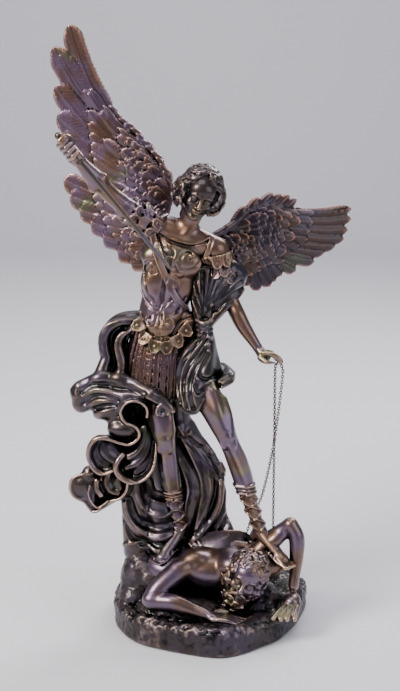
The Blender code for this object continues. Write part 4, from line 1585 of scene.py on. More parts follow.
@dataclass
class Legs(Sculpture):
    """Bare legs with laced sandals.

    Attributes:
        strap: radius of a sandal's straps.
    """

    name: str = "angel_legs"
    finish: BronzeFinish = FLESH
    strap: float = 1.25

    def block(self) -> Block:
        """Both legs, their feet and the sandals.

        Returns:
            The clay.
        """
        clay = Block((-98, -58, 76), (112, 34, 345), 1.1)
        sword_leg = [(-70, 0, 326, 21), (-64, -18, 286, 17.5), (-56, -28, 250, 12.6), (-54, -24, 232, 11.8),
                     (-52, -17, 208, 12.2), (-47, -6, 174, 10.4), (-42, 2, 146, 8.2), (-38, 7, 122, 7.6)]
        chain_leg = [(-34, -2, 326, 24), (-6, -24, 304, 18.5), (14, -40, 268, 13.6), (24, -37, 244, 11.6),
                     (33, -28, 220, 12.6), (41, -21, 192, 11.6), (50, -15, 162, 8.8), (58, -11, 138, 7.6),
                     (61, -9, 128, 7.6)]
        for path in (sword_leg, chain_leg):
            clay.limb(path, 4)
        clay.ball((-50, -6, 204), (10, 10, 22), (0, -8, 0), 5)
        clay.ball((39, -17, 206), (10, 11, 24), (0, -17, 0), 5)
        clay.ball((-56, -36, 249), (8, 5, 9), (0, -4, 0), 5)
        clay.ball((19, -48, 258), (8.5, 5.5, 10), (0, -24, 0), 5)
        for side in (-1, 1):
            clay.ball((-56 + 7 * side, -31, 262), (6, 6, 11), soft=4)
            clay.ball((12 + 7 * side, -40, 276 - 3 * side), (6.5, 6, 13), (0, -22, 0), 5)
        for shin in ([(-57, -37, 242, 3.4), (-56, -33, 222, 3.2), (-52, -24, 196, 2.8), (-47, -14, 172, 2.2)],
                     [(22, -52, 250, 3.4), (32, -43, 226, 3.2), (41, -34, 200, 2.8), (49, -24, 172, 2.2)]):
            clay.limb(shin, 3.5)
        for x, y, z, lean in ((-56, -38, 250, 0), (21, -52, 258, -20)):
            clay.ball((x, y, z), (5.2, 4.2, 6.0), (0, lean, 0), 2.5)
            for side in (-1, 1):
                clay.ball((x + 6.5 * side, y + 3, z - 10), (3.4, 3.4, 6.5), (0, lean, 0), 3)
        for muscle in ([(-65, -29, 296, 6), (-63, -33, 278, 6.5), (-59, -35, 262, 4.5)],
                       [(-54, -29, 292, 5), (-51, -33, 276, 5.5), (-53, -35, 262, 4.0)],
                       [(2, -36, 308, 6), (8, -45, 288, 7), (15, -49, 268, 4.5)],
                       [(15, -33, 300, 5.0), (20, -41, 284, 5.5), (22, -46, 267, 4.0)]):
            clay.limb(muscle, 6.0)
        self.foot(clay, (-40, 6, 112), (-66, -20, 88), sword_leg)
        self.foot(clay, (61, -8, 120), (96, -42, 92), chain_leg)
        self.lace(clay, sword_leg, 178)
        self.lace(clay, chain_leg, 190)
        return clay

    def foot(self, clay: Block, heel: Point, toe: Point, leg: Path) -> None:
        """A foot with five toes and a thin sole.

        Args:
            clay: the block to press it into.
            heel: the ankle's middle.
            toe: the middle of the toes.
            leg: the leg's stations; not used.
        """
        a, b = np.array(heel, float), np.array(toe, float)
        run = b - a
        flat = unit((run[0], run[1], 0))
        side = np.array([-flat[1], flat[0], 0])
        clay.limb([(*(a + (0, 0, 6)), 8.0), (*(a + run * 0.28 + (0, 0, 2)), 8.6), (*(a + run * 0.58), 7.8),
                   (*(a + run * 0.8 + (0, 0, -1)), 6.6)], 4)
        clay.ball(a - flat * 5 - (0, 0, 3), (8, 8, 9), soft=4)
        clay.ball(a + run * 0.74 - (0, 0, 2), (9.5, 9.5, 5.5), soft=4)
        for k, (shift, reach, r) in enumerate(((-7.6, 1.0, 3.3), (-3.4, 1.03, 2.7), (0.4, 1.0, 2.5),
                                               (3.9, 0.95, 2.3), (7.0, 0.87, 2.2))):
            start = a + run * 0.74 + side * shift * 0.8 + (0, 0, -1)
            end = a + run * reach + side * shift + (0, 0, -2)
            clay.limb([(*start, r * 1.1), (*((start + end) / 2 + (0, 0, 1.4)), r), (*end, r * 1.05)], 0.7)
        sole = Loft()
        outline = [a - flat * 12, a + run * 0.35, a + run * 0.8, a + run * 1.1]
        widths = (7, 8.5, 11.5, 9)
        left = [tuple(p - side * w + (0, 0, -11 + 4 * i)) for i, (p, w) in enumerate(zip(outline, widths))]
        right = [tuple(p + side * w + (0, 0, -11 + 4 * i)) for i, (p, w) in enumerate(zip(outline, widths))]
        sole.sheet([left, right], 3.2)
        clay.shells(sole, 1.0)
        for share in (0.5, 0.66):
            p = a + run * share
            clay.limb([(*(p - side * 9.5 + (0, 0, -4)), 1.4), (*(p + (0, 0, 8.2)), 1.5),
                       (*(p + side * 9.5 + (0, 0, -4)), 1.4)], 0.6)

    def lace(self, clay: Block, leg: Path, top: float) -> None:
        """Bands at the top of the sandal and straps that cross down to the ankle.

        Args:
            clay: the block to lay them on.
            leg: the leg's stations.
            top: the top band's height.
        """
        axis = spline(leg, 200)
        below = axis[axis[:, 2] < top]

        def on_skin(index: int, angle: float) -> Point:
            """A strap's station on the leg, this many steps below the top and turned by this angle."""
            centre = below[min(index, len(below) - 1)]
            way = np.array([math.cos(angle), math.sin(angle), 0.0])
            reach = clay.reach(centre[:3], way, 24)
            return (*(centre[:3] + way * (reach + 0.3)), self.strap)

        turns = np.linspace(0, 2 * math.pi, 19)
        for step, size in ((0, 1.5), (5, 1.15), (9, 1.5)):
            clay.limb([(*on_skin(step, a)[:3], self.strap * size) for a in turns], 0.5)
        count = len(below) - 10
        for turn in (1, -1):
            for start in (0.0, math.pi):
                path = [on_skin(10 + int(count * t), start - math.pi / 2 + turn * 2 * math.pi * t * 1.5)
                        for t in np.linspace(0, 0.98, 34)]
                clay.limb(path, 0.5)


@dataclass
class Kilt(Sculpture):
    """Leather strips with bead borders, under pointed tabs at the cuirass's edge.

    Attributes:
        strips: how many hang round the hips.
        tabs: how many tabs there are.
    """

    name: str = "kilt"
    finish: BronzeFinish = LEATHER
    strips: int = 30
    tabs: int = 9

    def hem(self, a: float, grow: float = 0.0) -> np.ndarray:
        """A point on the hem.

        Args:
            a: its angle about the hips, 0 at the viewer's right.
            grow: how far outside the hem it lies.

        Returns:
            The point.
        """
        c, s = math.cos(a), math.sin(a)
        return np.array([-64 + (42 + grow) * c, 4 + (36 + grow) * s, 311 - 7 * c + 9 * s])

    def block(self) -> Block:
        """A core, the strips over it and the tabs over them.

        Returns:
            The clay.
        """
        clay = Block((-116, -44, 286), (-8, 50, 404), 0.95)
        clay.ball((-62, 4, 356), (34, 26, 26))
        clay.ball((-63, 4, 334), (37, 30, 24), soft=6)
        strips, tabs = Loft(), Loft()
        for layer in (0, 1):
            for k in range(self.strips):
                a = 2 * math.pi * (k + 0.5 * layer) / self.strips
                c, s = math.cos(a), math.sin(a)
                top = np.array([-58 + (33 - layer) * c, 3 + (25 - layer) * s, 377 - 6 * c])
                foot = self.hem(a, -1.4 * layer) - (0, 0, 3.0 * layer)
                middle = (top + foot) / 2 + np.array([c, s, 0]) * (2.5 - layer)
                strips.strap([tuple(top), tuple(middle), tuple(foot)], (c, s, 0.15), 7.0, 3.2,
                             1.4 - 0.3 * layer, 3.4 if layer == 0 and k % 2 else 0.0)
        middle = np.array([-57, -27, 400])
        for x, z in ((-88, 388), (-80, 373), (-67, 364), (-53, 363), (-40, 370), (-29, 382)):
            at = np.array([x, -28.5 + 0.010 * (x + 57) ** 2, z])
            run = unit((at - middle) * (0.75, 0, 1))
            tabs.tab(at - run * 8.5, at + run * 8.0 - (0, 1.2, 0), (0.020 * (x + 57), -1, 0.15), 16.5, 3.0,
                     1.9, True)
        for k in range(self.tabs):
            a = math.radians(-6 + 192 * k / (self.tabs - 1))
            c, s = math.cos(a), math.sin(a)
            tabs.tab(np.array([-58 + 32 * c, 1 + 27 * s, 392]), np.array([-59 + 36 * c, 1 + 31 * s, 373]),
                     (c, s, 0.2), 14.0, 3.0, 1.7, True)
        clay.shells(strips, 0.3)
        clay.shells(tabs, 0.3)
        return clay


@dataclass
class Wing(Sculpture):
    """A wing whose feathers fan out from the shoulder and lap like shingles on both faces.

    Each ray of the fan runs from the shoulder over a bend to the root of a long feather and on to its tip.

    Attributes:
        tips: ends of the long feathers.
        roots: where each long feather leaves the arm.
        bends: a place on each ray between the arm and the shoulder.
        hearts: the shoulder end of each ray.
        lead: the leading edge's stations.
        crest: roots and tips of the feathers that break the leading edge.
        facing: the way the wing's front looks.
        bow: the feathers' sideways bend.
        broad: the most a long feather measures across.
        bare: the leading edge is plain above this height.
        lap: how far each feather is turned so that it laps its neighbour, in radians.
        long_reach: shares of the long feathers that the greater coverts cover.
        low: the clay's lowest corner.
        high: its highest corner.
        voxel: the clay's spacing.
    """

    name: str = "wing"
    finish: BronzeFinish = CHAIN_WING_PATINA_AND_SHADE
    tips: Path = field(default_factory=list)
    roots: Path = field(default_factory=list)
    bends: Path = field(default_factory=list)
    hearts: Path = field(default_factory=list)
    lead: Path = field(default_factory=list)
    crest: list[tuple[Point, Point]] = field(default_factory=list)
    facing: Point = (0, -1, 0)
    bow: float = 0.0
    broad: float = 28.0
    bare: float = 640.0
    lap: float = 0.17
    long_reach: tuple[float, ...] = (0.46, 0.22)
    low: Point = (0, 0, 0)
    high: Point = (0, 0, 0)
    voxel: float = 1.0
    budget: int = 120000

    def block(self) -> Block:
        """The wing's arm, then its feathers, row upon row on both faces.

        Returns:
            The clay.
        """
        clay = Block(self.low, self.high, self.voxel)
        frame = Loft()
        frame.sheet([self.hearts, self.bends, self.roots], 9.0, 4.0)
        clay.shells(frame, 1)
        clay.limb([(x, y, z, r) for (x, y, z), r in zip(self.lead,
                                                        np.linspace(*self.edge(), len(self.lead)))], 4)
        clay.limb([(*self.ray(u, -14), 8.0) for u in np.linspace(0.04, 0.96, 9)], 5)
        clay.limb([(*self.ray(u, -34), 9.5) for u in np.linspace(0.10, 0.96, 9)], 5)
        for face in (-1, 1):
            clay.shells(self.primaries(face), 0.2)
            for row, reach in enumerate(self.long_reach):
                clay.shells(self.shingles(clay, face, row, reach, 0.0, 40.0, 11.5), 0.2)
            rows = (3.0, -9.0, -21.0, -32.0, -43.0, -54.0, -65.0) if face > 0 else (0.0, -16.0, -32.0, -50.0)
            for row, past in enumerate(rows):
                clay.shells(self.shingles(clay, face, row, 0.0, past, 31.0 - 2.2 * row, 10.0 - 0.4 * row),
                            0.2)
            clay.shells(self.edge_feathers(clay, face), 0.2)
        return clay

    def edge(self) -> tuple[float, float]:
        """Radii of the leading edge at its two ends.

        Returns:
            The first and the last.
        """
        return (2.0, 4.0) if self.lead[0][2] > self.lead[-1][2] + 60 else (5.0, 2.0)

    def ray(self, u: float, past: float, reach: float = 0.0) -> np.ndarray:
        """A place on one ray of the fan.

        Args:
            u: 0 at the first ray, 1 at the last.
            past: millimetres beyond the long feather's root, negative toward the shoulder.
            reach: share of the long feather added to that.

        Returns:
            The place.
        """
        k = u * (len(self.tips) - 1)

        def at(points: Path) -> np.ndarray:
            """The place on this row of stations that the ray passes."""
            stations = np.array(points, float)
            return np.array([np.interp(k, np.arange(len(stations)), stations[:, i]) for i in range(3)])

        heart, bend, root, tip = at(self.hearts), at(self.bends), at(self.roots), at(self.tips)
        out = tip - root
        past = past + reach * float(np.linalg.norm(out))
        if past >= 0:
            return root + unit(out) * past
        first, second = float(np.linalg.norm(bend - root)), float(np.linalg.norm(heart - bend))
        if -past <= first:
            return root + (bend - root) * (-past / first)
        return bend + (heart - bend) * min((-past - first) / second, 1.15)

    def way(self, face: int) -> np.ndarray:
        """Which way a face looks.

        Args:
            face: 1 for the front, -1 for the back.

        Returns:
            A unit vector.
        """
        return unit(self.facing) * face

    def primaries(self, face: int) -> Loft:
        """The long feathers.

        Args:
            face: 1 for the front, -1 for the back.

        Returns:
            The shells.
        """
        made = Loft()
        tips = np.array(self.tips, float)
        gaps = np.linalg.norm(np.diff(tips, axis=0), axis=1)
        gaps = np.concatenate([gaps[:1] * 0.8, gaps, gaps[-1:]])
        for k, (root, tip) in enumerate(zip(np.array(self.roots, float), tips)):
            width = float(np.clip(0.66 * (gaps[k] + gaps[k + 1]), 14, self.broad))
            lift = self.way(face) * 0.8
            made.leaf(root - unit(tip - root) * 10 + lift, tip + lift, width, 4.4, self.way(face),
                      self.bow * face, self.lap * face, 0.7, 0.84)
        return made

    def shingles(self, clay: Block, face: int, row: int, reach: float, past: float, length: float,
                 pitch: float) -> Loft:
        """One row of shorter feathers.

        Args:
            clay: what they lie on.
            face: 1 for the front, -1 for the back.
            row: 0 for the first row, so that rows are staggered.
            reach: share of the long feathers that the row's tips lie beyond the roots.
            past: millimetres that they lie beyond them besides.
            length: of each feather.
            pitch: distance between neighbours.

        Returns:
            The shells.
        """
        rng = np.random.default_rng(SEED + 10 * row + int(100 * reach))
        made, lift = Loft(), self.way(face)
        fan = [self.ray(u, past, reach) for u in np.linspace(0, 1, 25)]
        span = float(sum(np.linalg.norm(q - p) for p, q in zip(fan, fan[1:])))
        count = max(4, int(span / pitch))
        length = length + 0.16 * reach * 160
        for k in range(count):
            u = (k + 0.25 + 0.5 * (row % 2)) / count
            jitter = rng.uniform(-2.5, 2.5)
            tip, root = self.ray(u, past + jitter, reach), self.ray(u, past + jitter - length, reach)
            side = np.linalg.norm(self.ray(min(u + 1 / count, 1), past,
                                           reach) - self.ray(max(u - 1 / count, 0), past, reach)) / 2
            high = min(clay.reach(tip, lift, 26), 20)
            deep = min(clay.reach(root, lift, 26), 20)
            made.leaf(root + lift * (deep - 1.4), tip + lift * (high + 1.0),
                      float(np.clip(1.5 * side, 8.0, 18)), 3.4, lift, self.bow * face * 0.5, self.lap * face,
                      0.55, 0.72)
        return made

    def edge_feathers(self, clay: Block, face: int) -> Loft:
        """The crest feathers and a row of small ones that break the leading edge.

        Args:
            clay: what they lie on; not used.
            face: 1 for the front, -1 for the back.

        Returns:
            The shells.
        """
        made, lift = Loft(), self.way(face)
        line = spline(self.lead, int(length_of(self.lead) / 9.0))
        if line[0][2] > line[-1][2] + 60:
            line = line[::-1]
        for a, b in zip(line[:-1], line[1:]):
            if a[2] > self.bare:
                continue
            run = unit(b - a)
            made.leaf(a - run * 4 + lift * 1.0, a + run * 13 + lift * 3.6, 9.5, 3.0, lift, 0.0, 0.1 * face,
                      0.5, 0.6)
        for root, tip in self.crest:
            root, tip = np.array(root, float), np.array(tip, float)
            made.leaf(root + lift * 4.0, tip + lift * 1.8, 12.0, 3.6, lift, 0.0, 0.12 * face, 0.6, 0.62)
        return made


def sword_side_wing() -> Wing:
    """The wing raised behind the sword arm.

    Returns:
        The sub-assembly.
    """
    # This wing's finish is the lighter copy of the wing patina, partly its own tint and partly painted light.
    return Wing(name="wing_sword_side", tips=[(-171, 61, 742), (-182, 63, 706), (-190.5, 64, 716),
                                              (-189, 64, 670), (-187, 64, 636), (-185, 64, 611),
                                              (-178, 64, 596), (-181, 63, 556), (-174, 61, 536),
                                              (-162, 57, 519), (-148, 53, 504), (-133, 49, 488),
                                              (-115, 44, 470), (-99, 40, 458)],
                roots=[(-116, 60, 627), (-116, 60, 622), (-120, 60, 617), (-114, 57, 596), (-111, 55, 583),
                       (-110, 54, 574), (-109, 53, 562), (-119, 52, 537), (-115, 50, 524), (-112, 48, 512),
                       (-108, 45, 497), (-102, 43, 484), (-92, 39, 469), (-84, 36, 460)],
                bends=[(-84, 52, 598), (-86, 52, 596), (-89, 52, 592), (-89, 50, 579), (-86, 49, 567),
                       (-84, 47, 557), (-82, 46, 548), (-87, 44, 527), (-87, 43, 517), (-86, 42, 507),
                       (-83, 40, 496), (-79, 38, 486), (-76, 36, 474), (-73, 35, 465)],
                hearts=[(-54, 42, 560), (-55, 41, 557), (-56, 41, 552), (-56, 40, 546), (-56, 39, 538),
                        (-56, 39, 532), (-57, 38, 526), (-60, 38, 516), (-62, 37, 509), (-63, 37, 502),
                        (-64, 36, 494), (-64, 35, 486), (-65, 34, 476), (-65, 34, 470)],
                lead=[(-161, 61, 728), (-153, 61, 708), (-145, 61, 690), (-135, 61, 669), (-125, 60, 652),
                      (-115, 59, 634), (-103, 57, 624), (-91, 55, 614), (-80, 51, 599), (-70, 48, 590),
                      (-61, 45, 577), (-55, 42, 562), (-54, 40, 548), (-56, 36, 528)],
                crest=[((-94, 56, 598), (-101, 59, 627)), ((-82, 53, 588), (-90, 57, 618)),
                       ((-68, 49, 571), (-77, 52, 604)), ((-59, 46, 554), (-63, 48, 588)),
                       ((-53, 42, 536), (-51, 44, 570)), ((-54, 38, 516), (-49, 41, 550))], finish=SWORD_WING_TINT_AND_LIGHT,
                facing=(-0.1, -1, 0.05), bow=-0.05, low=(-208, 22, 444), high=(-38, 90, 752), budget=116000)


def chain_side_wing() -> Wing:
    """The wing spread behind the chain arm.

    Returns:
        The sub-assembly.
    """
    return Wing(name="wing_chain_side", tips=[(179, 109, 515), (179, 109, 502), (175, 107, 488),
                                              (170, 105, 477), (158, 100, 468), (144, 94, 461),
                                              (131, 88, 450), (107, 77, 440), (89, 68, 436), (81, 65, 429),
                                              (74, 62, 423), (60, 55, 419), (48, 49, 426)],
                roots=[(105, 76, 515), (105, 76, 506), (105, 76, 497), (104, 75, 488), (99, 73, 480),
                       (92, 70, 474), (86, 67, 465), (77, 63, 460), (71, 60, 456), (64, 57, 454),
                       (58, 54, 451), (48, 49, 450), (37, 45, 451)],
                bends=[(64, 58, 524), (64, 58, 515), (63, 57, 507), (60, 56, 499), (56, 55, 493),
                       (53, 53, 487), (48, 50, 483), (44, 48, 479), (39, 46, 476), (34, 43, 474),
                       (30, 41, 472), (25, 39, 470), (22, 37, 468)],
                hearts=[(19, 36, 502), (18, 35, 498), (16, 34, 495), (15, 34, 492), (14, 33, 490),
                        (13, 33, 488), (12, 32, 485), (10, 32, 484), (9, 31, 483), (9, 31, 482), (8, 30, 480),
                        (7, 30, 480), (5, 29, 478)], lead=[(1, 26, 489), (16, 33, 497), (29, 40, 505),
                                                           (38, 44, 515), (50, 51, 522), (64, 58, 526),
                                                           (76, 64, 525), (88, 69, 522), (100, 74, 517),
                                                           (112, 80, 514), (141, 93, 512), (161, 101, 513),
                                                           (174, 107, 515)],
                crest=[((24, 39, 498), (42, 47, 525)), ((38, 46, 508), (59, 57, 535)),
                       ((48, 51, 511), (76, 65, 540)), ((58, 56, 513), (87, 70, 538)),
                       ((69, 61, 513), (98, 75, 536)), ((78, 65, 510), (107, 79, 531)),
                       ((84, 67, 503), (113, 81, 519))], facing=(0.35, -0.93, 0.1), bow=0.04, broad=16.0,
                lap=-0.18, long_reach=(0.30,), low=(-22, 12, 406), high=(192, 124, 546), budget=92000)


@dataclass
class Cloak(Sculpture):
    """The cloak over the chain shoulder, its knot and the swathe wrapped across the hip.

    Attributes:
        knot: where the shoulder's folds are gathered.
    """

    name: str = "cloak"
    finish: BronzeFinish = CLOAK
    knot: Point = (-8, -24, 388)
    budget: int = 72000

    def block(self) -> Block:
        """The folds of the shoulder and of the hip.

        Returns:
            The clay.
        """
        clay = Block((-58, -66, 272), (62, 50, 470), 1.0)
        self.shoulder(clay)
        self.hip(clay)
        return clay

    def shoulder(self, clay: Block) -> None:
        """Folds from under the lappets to the knot.

        Args:
            clay: the block to press them into.
        """
        for path in ([(-9, 0, 450, 14), (-12, -4, 418, 13), (-10, -12, 392, 9)],
                     [(6, 2, 452, 15), (0, -3, 420, 14), (-7, -12, 394, 9)],
                     [(21, 3, 452, 16), (13, -1, 424, 15), (-5, -11, 396, 9)],
                     [(32, 6, 446, 13), (25, 2, 428, 12), (8, -6, 405, 9), (-3, -12, 394, 8)]):
            clay.limb(path, 6)
        rim = [(-20, 420), (-18, 438), (-9, 452), (2, 456), (12, 456), (22, 454), (31, 448), (38, 440),
               (42, 432)]
        foot = np.array(self.knot)
        for k, (x, z) in enumerate(rim):
            t = k / (len(rim) - 1)
            way = np.array([foot[0] - x, foot[2] - z])
            bow = np.array([way[1], -way[0]]) * 0.12 * (t - 0.3)
            path = [(x + way[0] * u + bow[0] * math.sin(math.pi * u),
                     z + way[1] * u + bow[1] * math.sin(math.pi * u)) for u in (0.0, 0.22, 0.45, 0.7, 0.9)]
            clay.trace(path, (3.6, 2.6, 4.2, 3.0)[k % 4], -0.1, 1.6, True)
            side = [(a + 3.4 - 2 * t, b + 1.0) for a, b in path[:4]]
            clay.trace(side, 1.7, 0.15, 2.2)
        clay.trace([(43, 436), (39, 428), (31, 418), (17, 407), (2, 392), (-8, 385)], 2.3, 0.0, 1.6)
        clay.ball((-6, -4, 398), (12, 13, 15), soft=5)
        clay.ball((-8, -22, 386), (8.5, 8, 10), (0, 20, 0), 3)
        for k in range(4):
            clay.limb([(-17 + k, -24, 396 - 6 * k, 2.4), (-8, -31, 393 - 5 * k, 3.0),
                       (1, -25, 397 - 6 * k, 2.4)], 2.0)

    def hip(self, clay: Block) -> None:
        """Sweeping folds across the thigh, ending in a hem and a rolled edge.

        Args:
            clay: the block to press them into.
        """
        clay.ball((-20, -10, 330), (27, 35, 43), (0, 0, 0))
        clay.ball((-8, -12, 358), (14, 21, 27), soft=8)
        clay.ball((-23, -28, 306), (20, 25, 25), soft=8)
        clay.limb([(-10, -8, 384, 10), (-6, -8, 360, 11), (0, -6, 336, 13), (2, -4, 318, 13)], 6)
        for valley, r in (([(-8, 380), (-21, 364), (-33, 349), (-39, 333), (-40, 316), (-37, 300)], 3.4),
                          ([(-6, 372), (-17, 358), (-28, 343), (-33, 327), (-33, 310), (-29, 294)], 4.0),
                          ([(-5, 364), (-14, 350), (-22, 336), (-26, 321), (-25, 305), (-21, 291)], 4.0),
                          ([(-2, 356), (-9, 344), (-13, 333), (-8, 327), (2, 326), (12, 327)], 3.4),
                          ([(-18, 322), (-15, 313), (-6, 317), (4, 318), (13, 318)], 3.4)):
            clay.trace(valley, r, -0.25, 1.0, True)
        for crest in ([(-3, 378), (-14, 366), (-27, 352), (-36, 338), (-38, 322), (-36, 304)],
                      [(-2, 368), (-11, 355), (-22, 341), (-29, 326), (-29, 308), (-25, 292)],
                      [(-16, 329), (-6, 322), (4, 321), (14, 322)]):
            clay.trace(crest, 1.5, 0.1, 1.6)
        hem = [(-41, 300), (-38, 294), (-32, 288), (-24, 285), (-17, 287), (-14, 295), (-9, 303), (-1, 309),
               (8, 312), (16, 313)]
        clay.trace(hem, 2.0, -0.1, 1.6)
        clay.limb([(12, -20, 318, 7), (20, -14, 322, 8.5), (20, -2, 324, 9.5), (14, 8, 328, 9)], 4)
        for shift in (-3.2, 2.6):
            clay.limb([(14, -27, 317 + shift, 1.8), (25, -18, 322 + shift, 2.4), (28, -4, 324 + shift, 2.4)],
                      2.0)


@dataclass
class Drapery(Sculpture):
    """The cloth that loops out from the hip, billows, and falls in columns to the rock.

    Attributes:
        thick: the cloth's thickness.
        hem: radius of its rolled edge.
    """

    name: str = "drapery"
    finish: BronzeFinish = CLOTH
    thick: float = 3.0
    hem: float = 1.3
    budget: int = 140000

    def block(self) -> Block:
        """The columns, then the cloth that hangs before them.

        Returns:
            The clay.
        """
        clay = Block((-182, -56, 84), (42, 48, 404), 1.2)
        self.columns(clay)
        self.loops(clay)
        self.bowls(clay)
        self.billow(clay)
        self.hems(clay)
        return clay

    def columns(self, clay: Block) -> None:
        """The long folds behind the legs.

        Args:
            clay: the block to press them into.
        """
        for path in ([(-98, 14, 320, 15), (-100, 14, 250, 15), (-97, 12, 200, 16), (-95, 11, 150, 17),
                      (-93, 10, 92, 17)], [(-72, 18, 330, 16), (-68, 16, 240, 16), (-64, 12, 180, 16),
                                           (-62, 8, 120, 17), (-62, 8, 92, 16)],
                     [(-44, 22, 330, 14), (-36, 22, 240, 14), (-24, 20, 190, 16), (-20, 18, 140, 17),
                      (-16, 16, 92, 17)], [(-26, 26, 250, 8), (-8, 24, 214, 10), (2, 24, 180, 11),
                                           (4, 24, 140, 12), (12, 22, 100, 13)],
                     [(6, 24, 188, 7), (12, 24, 168, 8), (12, 24, 140, 8), (22, 22, 112, 9)]):
            clay.limb(path, 9)
        for line, r in (([(-78, 186), (-73, 172), (-60, 168)], 6.5),
                        ([(-102, 162), (-97, 145), (-87, 134), (-72, 128), (-50, 130)], 7.0),
                        ([(-109, 134), (-100, 118), (-86, 109), (-66, 106), (-54, 108)], 6.0),
                        ([(-44, 232), (-30, 206), (-20, 186), (-18, 168), (-24, 148), (-30, 116)], 9.0),
                        ([(-30, 240), (-14, 222), (-2, 202), (6, 186), (7, 170), (2, 150), (-8, 132),
                          (-16, 116)], 5.0), ([(-10, 228), (8, 206), (18, 188), (19, 170), (17, 150),
                                               (10, 130), (-2, 112)], 5.0),
                        ([(26, 160), (25, 140), (14, 116)], 5.0),
                        ([(-54, 240), (-48, 200), (-44, 170), (-43, 130), (-42, 108)], 8.0)):
            clay.trace(line, r, -0.2, 3.0, True)
        for line in ([(-94, 188), (-92, 170), (-86, 155), (-76, 146), (-62, 143), (-49, 147)],
                     [(-107, 160), (-104, 143), (-96, 129), (-83, 118), (-67, 114), (-48, 118)],
                     [(-40, 256), (-28, 236), (-15, 218), (-5, 202), (-1, 186), (0, 172), (-3, 158),
                      (-10, 141), (-17, 124)], [(-26, 246), (-8, 228), (5, 208), (12, 190), (13, 172),
                                                (11, 152), (1, 130), (-12, 117), (-22, 106)],
                     [(12, 200), (21, 180), (25, 156), (31, 134), (30, 120)]):
            clay.trace(line, 4.6, 0.42, 4.5)
            clay.trace(line, 1.4, 0.1, 1.8)
        foot = [(-112, 100), (-104, 105), (-95, 107), (-84, 106), (-75, 101), (-66, 96), (-57, 99),
                (-48, 110)]
        clay.trace(foot, 3.0, 0.1, 2.5)

    def loops(self, clay: Block) -> None:
        """Two rolled folds at the hip, with deep hollows behind them.

        Args:
            clay: the block to press them into.
        """
        outer = [(-92, 2, 389), (-104, 0, 389), (-115, 0, 387), (-124, 0, 381), (-129, 0, 372),
                 (-130, 0, 362), (-129, -2, 353), (-127, -3, 345), (-130, -6, 336), (-134, -10, 326),
                 (-136, -12, 318)]
        second = [(-94, -9, 384), (-103, -11, 379), (-110, -12, 371), (-112, -13, 362), (-110, -14, 352),
                  (-108, -15, 343), (-109, -16, 333), (-112, -17, 323)]
        clay.limb([(x + 8, y + 18, z - 3, 14) for x, y, z in outer], 6)
        clay.limb([(x + 4, y + 16, z, 8) for x, y, z in second], 5)
        clay.limb([(*p, r) for p, r in zip(outer, np.linspace(6.0, 8.6, len(outer)))], 4)
        clay.limb([(*p, r) for p, r in zip(second, np.linspace(3.6, 6.0, len(second)))], 4)
        clay.trace([(-101, 384), (-114, 379), (-121, 370), (-121, 358), (-118, 348), (-118, 338),
                    (-122, 328)], 3.4, -0.2, 3.0, True)
        clay.trace([(-97, 376), (-102, 368), (-102, 354), (-100, 340), (-102, 330)], 5.0, 0.2, 3.0, True)
        for line, r in (([(-112, 391), (-126, 386), (-134, 375), (-136, 362)], 1.6),
                        ([(-105, 380), (-113, 372), (-115, 362), (-113, 350), (-111, 340)], 1.6)):
            clay.trace(line, r, 0.2, 1.6)

    def billow(self, clay: Block) -> None:
        """The blown fold below the loops.

        Args:
            clay: the block to press it into.
        """
        for centre, radii, turn in (((-118, -10, 300), (32, 17, 25), (0, 4, 0)),
                                    ((-148, -8, 299), (20, 11, 17), (0, 20, 0)),
                                    ((-94, -16, 307), (26, 16, 15), (0, 8, 0)),
                                    ((-72, -26, 306), (20, 12, 10), (0, 22, 0)),
                                    ((-122, -18, 281), (18, 13, 12), (0, 20, 0)),
                                    ((-162, -8, 305), (9, 7, 8), (0, 0, 0)),
                                    ((-160, -8, 288), (9, 7, 9), (0, 0, 0))):
            clay.ball(centre, radii, turn, 9)
        clay.limb([(-70, -30, 306, 9), (-56, -38, 298, 5), (-46, -42, 288, 2.5)], 5)
        for line, r in (([(-160, 312), (-146, 320), (-128, 324), (-110, 323), (-94, 319), (-78, 312),
                          (-62, 303), (-50, 292)], 5.5), ([(-162, 300), (-149, 308), (-134, 309), (-118, 304),
                                                           (-103, 304), (-88, 309), (-72, 308)], 6.0),
                        ([(-158, 286), (-145, 294), (-131, 298), (-116, 297), (-106, 299)], 6.0),
                        ([(-138, 277), (-127, 284), (-116, 288), (-110, 291)], 5.0)):
            clay.trace(line, r, 0.5, 6.0)
        for line, r in (([(-158, 306), (-144, 315), (-128, 316), (-112, 313), (-96, 313), (-80, 309)], 3.0),
                        ([(-154, 293), (-140, 302), (-126, 303), (-112, 299)], 2.8),
                        ([(-140, 286), (-128, 291), (-116, 293)], 2.4)):
            clay.trace(line, r, 0.1, 4.0, True)
        clay.trace([(-120, 316), (-104, 315), (-90, 312), (-76, 306), (-64, 299)], 1.8, 0.1, 2.0)
        clay.ball((-93, -48, 286), (12.5, 22, 12), soft=2, carve=True)
        clay.limb([(-118, 8, 300, 16), (-112, 12, 256, 15), (-104, 14, 200, 14)], 5)

